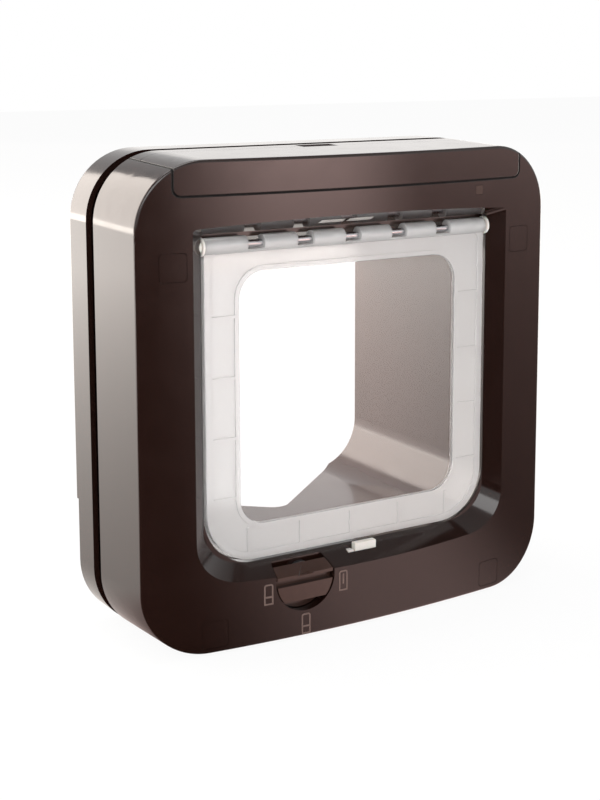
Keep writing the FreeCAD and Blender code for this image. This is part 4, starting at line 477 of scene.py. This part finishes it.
# The places on the board, to the right and to the back, in millimetres.
CHIP_SPOTS = ((-19, -46.5), (-14, -46.5), (-9, -46.5), (9, -46.5), (14, -46.5), (19, -46.5),
              (-20, -33), (2, -32), (8, -32), (14, -33), (19, -39))
board_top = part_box("circuit_board")[1][2]
cap_start = CHIP_LONG / 2 - CAP_LONG
fired_ceramic = moulded("fired_ceramic", "#b39a72", rough=0.4, grain=0.0003, relief=0.00001, patch=0.002)
tinned_cap = drawn_metal("tinned_cap", "#c9cacc", rough=0.3, line=0.0003)
bpy.ops.object.select_all(action="DESELECT")
bpy.ops.mesh.primitive_cube_add(size=1, location=(0, 0, 0))
capacitor = bpy.context.object
capacitor.scale = (CHIP_LONG, CHIP_WIDE, CHIP_TALL)
bpy.ops.object.transform_apply(location=False, rotation=False, scale=True)
capacitor.data.materials.append(fired_ceramic)
capacitor.data.materials.append(tinned_cap)
bpy.ops.object.mode_set(mode="EDIT")
bpy.ops.mesh.select_mode(type="FACE")
for end in (-1, 1):
    bpy.ops.mesh.select_all(action="SELECT")
    bpy.ops.mesh.bisect(plane_co=(end * cap_start, 0, 0), plane_no=(1, 0, 0))
bpy.ops.mesh.select_all(action="DESELECT")
bpy.ops.object.mode_set(mode="OBJECT")
for face in capacitor.data.polygons:
    if abs(face.center.x) > cap_start:
        face.select = True
        face.material_index = TINNED
bpy.ops.object.mode_set(mode="EDIT")
bpy.ops.mesh.extrude_region_shrink_fatten(TRANSFORM_OT_shrink_fatten={"value": CAP_PROUD})
bpy.ops.object.mode_set(mode="OBJECT")
rounding = capacitor.modifiers.new("rounding", "BEVEL")
rounding.width = CAP_PROUD
rounding.segments = CAP_ROUNDING_STEPS
bpy.ops.object.modifier_apply(modifier="rounding")
chips = []
for number, (east, north) in enumerate(CHIP_SPOTS):
    chip = capacitor
    if number:
        chip = capacitor.copy()
        chip.data = capacitor.data.copy()
        bpy.context.scene.collection.objects.link(chip)
    chip.name = f"chip_capacitor_{number}"
    chip.location = (east / 1000, north / 1000, board_top + CHIP_TALL / 2 + CAP_PROUD)
    chips.append(chip)
for chip in chips:
    bpy.ops.object.select_all(action="DESELECT")
    chip.select_set(True)
    bpy.context.view_layer.objects.active = chip
    bpy.ops.object.transform_apply(location=True, rotation=False, scale=False)
    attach(chip, "frame")

# The processor on the board is moulded in black epoxy, which is dull. The button above the
# push switch is moulded in black ABS, and its top has a soft shine.
matt_epoxy = moulded("matt_epoxy", "#1b1b1c", rough=0.55, grain=0.0003, relief=0.00001)
dress(matt_epoxy, "processor_chip")
button_abs = moulded("button_abs", "#1d1b1c", rough=0.3, grain=0.0008, relief=0.00001)
dress(button_abs, "settings_button")

# The motor's can is deep-drawn steel with a grey sheen. Its pinion and the inserts in the
# outdoor frame are turned brass, which gives a warm yellow shine.
motor_can = drawn_metal("motor_can", "#a7a8ab", rough=0.34, line=0.0009)
dress(motor_can, "latch_motor")
turned_brass = drawn_metal("turned_brass", "#c9a45a", rough=0.24, line=0.0004)
dress(turned_brass, "drive_pinion", "threaded_inserts")

# The motor's lead is stranded copper in extruded red PVC, soft and slightly shiny. It runs from
# the board down to the motor.
red_pvc = moulded("red_pvc", "#93251d", rough=0.38, grain=0.0015, relief=0.00002, ior=1.53)
dress(red_pvc, "motor_lead")

# The latch, the fork and the hinge bushes are moulded in white acetal, which is waxy and lets
# a little light in.
WAX_LIGHT = {"Subsurface Weight": 0.12, "Subsurface Scale": 0.002}
white_acetal = moulded("white_acetal", "#ebe7e1", rough=0.34, grain=0.0012, relief=0.000006, ior=1.48,
                       **WAX_LIGHT)
dress(white_acetal, "hinge_bush_left", "hinge_bush_right", "motor_latch", "lock_fork")

# The lock dial is turned by finger from indoors. It is moulded in the housing's ABS and is a little duller,
# and its paler colour than the housing is a painted highlight.
painted_highlight_dial_abs = moulded("painted_highlight_dial_abs", "#38241d", rough=0.2, grain=0.02, relief=0.00002, patch=0.005)
dress(painted_highlight_dial_abs, "lock_dial")

# The three signs beside the dial are printed on the housing in a pale brown ink, which lies
# matt on the shine.
sign_ink = moulded("sign_ink", "#6a5750", rough=0.55, grain=0.0004, relief=0.000008, patch=0.003)
dress(sign_ink, "position_marks")

# The flap is one moulding in clear polycarbonate, which hangs on the hinge rod. Its middle is
# polished, and its border is sparked matt, so that it looks milky.
SIDE_BORDER = 0.016
FOOT_BORDER = 0.0153
# The head of the window lies this far below the middle of the hinge rod.
HEAD_DROP = 0.0115
WINDOW_ROUND = 0.012
FROST_EDGE = 0.0003
SPARK_SIZE = 0.0005
SPARK_RELIEF = 0.00002
FROST_CLEAR = 0.5
FROST_ROUGH = 0.16
MILK_DEPTH = 0.006
flap_low, flap_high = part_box("flap_panel")
rod_low, rod_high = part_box("hinge_rod")
window_half = flap_high[0] - SIDE_BORDER
window_foot = flap_low[2] + FOOT_BORDER
window_top = (rod_low[2] + rod_high[2]) / 2 - HEAD_DROP
window_middle = (window_foot + window_top) / 2
window_reach = (window_top - window_foot) / 2
core = (window_half - WINDOW_ROUND, 0, window_reach - WINDOW_ROUND)
polycarbonate = bare_material("clear_polycarbonate")
tree = polycarbonate.node_tree
spot = add(tree, "ShaderNodeTexCoord").outputs["Object"]
flat = add(tree, "ShaderNodeVectorMath", {0: spot, 1: (1, 0, 1)}, operation="MULTIPLY")
centred = add(tree, "ShaderNodeVectorMath", {0: flat.outputs[0], 1: (0, 0, window_middle)},
              operation="SUBTRACT")
folded = add(tree, "ShaderNodeVectorMath", {0: centred.outputs[0]}, operation="ABSOLUTE")
past = add(tree, "ShaderNodeVectorMath", {0: folded.outputs[0], 1: core}, operation="SUBTRACT")
outward = add(tree, "ShaderNodeVectorMath", {0: past.outputs[0], 1: (0, 0, 0)}, operation="MAXIMUM")
reach = add(tree, "ShaderNodeVectorMath", {0: outward.outputs[0]}, operation="LENGTH")
frost = add(tree, "ShaderNodeMapRange", {"Value": reach.outputs["Value"],
                                         "From Min": WINDOW_ROUND - FROST_EDGE,
                                         "From Max": WINDOW_ROUND + FROST_EDGE}).outputs[0]
sparks = add(tree, "ShaderNodeTexNoise", {"Vector": spot, "Scale": 1 / SPARK_SIZE, "Detail": 2.0})
relief = add(tree, "ShaderNodeMath", {0: sparks.outputs["Fac"], 1: frost}, operation="MULTIPLY")
bump = add(tree, "ShaderNodeBump", {"Height": relief.outputs[0], "Strength": 1.0, "Distance": SPARK_RELIEF})
tone = add(tree, "ShaderNodeMix", {0: frost, COLOUR_A: linear("#ffffff"), COLOUR_B: linear("#fffdfc")},
           data_type="RGBA")
clear = add(tree, "ShaderNodeMapRange", {"Value": frost, "To Min": 1.0, "To Max": FROST_CLEAR})
matt = add(tree, "ShaderNodeMapRange", {"Value": frost, "To Min": 0.0, "To Max": FROST_ROUGH})
skin = add(tree, "ShaderNodeBsdfPrincipled", {"Base Color": tone.outputs[COLOUR_OUT],
                                              "Roughness": matt.outputs[0], "IOR": 1.5,
                                              "Transmission Weight": clear.outputs[0],
                                              "Subsurface Weight": 1.0, "Subsurface Scale": MILK_DEPTH,
                                              "Subsurface Radius": (1, 1, 1), "Normal": bump.outputs[0]})
add(tree, "ShaderNodeOutputMaterial", {"Surface": skin.outputs[0]})
dress(polycarbonate, "flap_panel")

# The two sensor windows in the funnel's ceiling are clear acrylic over pale sensors, and the
# lamp's lens is the same in a smoky tint. All three are polished.
ACRYLIC_IOR = 1.49
HAZES_PER_METRE = 330
HAZE_POLISHED = 0.04
HAZE_DULL = 0.12


def acrylic(name, tint, clear):
    """Polished acrylic over something pale, with faint clouds of about 3 mm."""
    finish = bare_material(name)
    tree = finish.node_tree
    spot = add(tree, "ShaderNodeTexCoord").outputs["Object"]
    haze = add(tree, "ShaderNodeTexNoise", {"Vector": spot, "Scale": HAZES_PER_METRE, "Detail": 2.0})
    matt = add(tree, "ShaderNodeMapRange", {"Value": haze.outputs["Fac"], "To Min": HAZE_POLISHED,
                                            "To Max": HAZE_DULL})
    skin = add(tree, "ShaderNodeBsdfPrincipled", {"Base Color": linear(tint), "Roughness": matt.outputs[0],
                                                  "IOR": ACRYLIC_IOR, "Transmission Weight": clear})
    add(tree, "ShaderNodeOutputMaterial", {"Surface": skin.outputs[0]})
    return finish


sensor_acrylic = acrylic("sensor_acrylic", "#d8d3ce", clear=0.25)
dress(sensor_acrylic, "sensor_window_left", "sensor_window_right")
lamp_acrylic = acrylic("lamp_acrylic", "#45352f", clear=0.2)
dress(lamp_acrylic, "indicator_lens")

# The door seal is a strip of black closed-cell foam, cut from sheet, which shows as a dull line
# with pores of about 1 mm.
PORE_SIZE = 0.001
PORE_RELIEF = 0.0002
foam = bare_material("closed_cell_foam")
tree = foam.node_tree
spot = add(tree, "ShaderNodeTexCoord").outputs["Object"]
pores = add(tree, "ShaderNodeTexVoronoi", {"Vector": spot, "Scale": 1 / PORE_SIZE})
tone = add(tree, "ShaderNodeMix", {0: pores.outputs["Distance"], COLOUR_A: linear("#0e0d0d"),
                                   COLOUR_B: linear("#242120")}, data_type="RGBA")
bump = add(tree, "ShaderNodeBump", {"Height": pores.outputs["Distance"], "Strength": 1.0,
                                    "Distance": PORE_RELIEF})
skin = add(tree, "ShaderNodeBsdfPrincipled", {"Base Color": tone.outputs[COLOUR_OUT], "Roughness": 0.9,
                                              "IOR": 1.5, "Normal": bump.outputs[0]})
add(tree, "ShaderNodeOutputMaterial", {"Surface": skin.outputs[0]})
dress(foam, "door_seal")

# Four square caps snap in over the heads of the long screws. They are the housing's own ABS,
# and close almost flush.
dress(brown_abs, "screw_cap_upper_left", "screw_cap_upper_right", "screw_cap_lower_left",
      "screw_cap_lower_right")
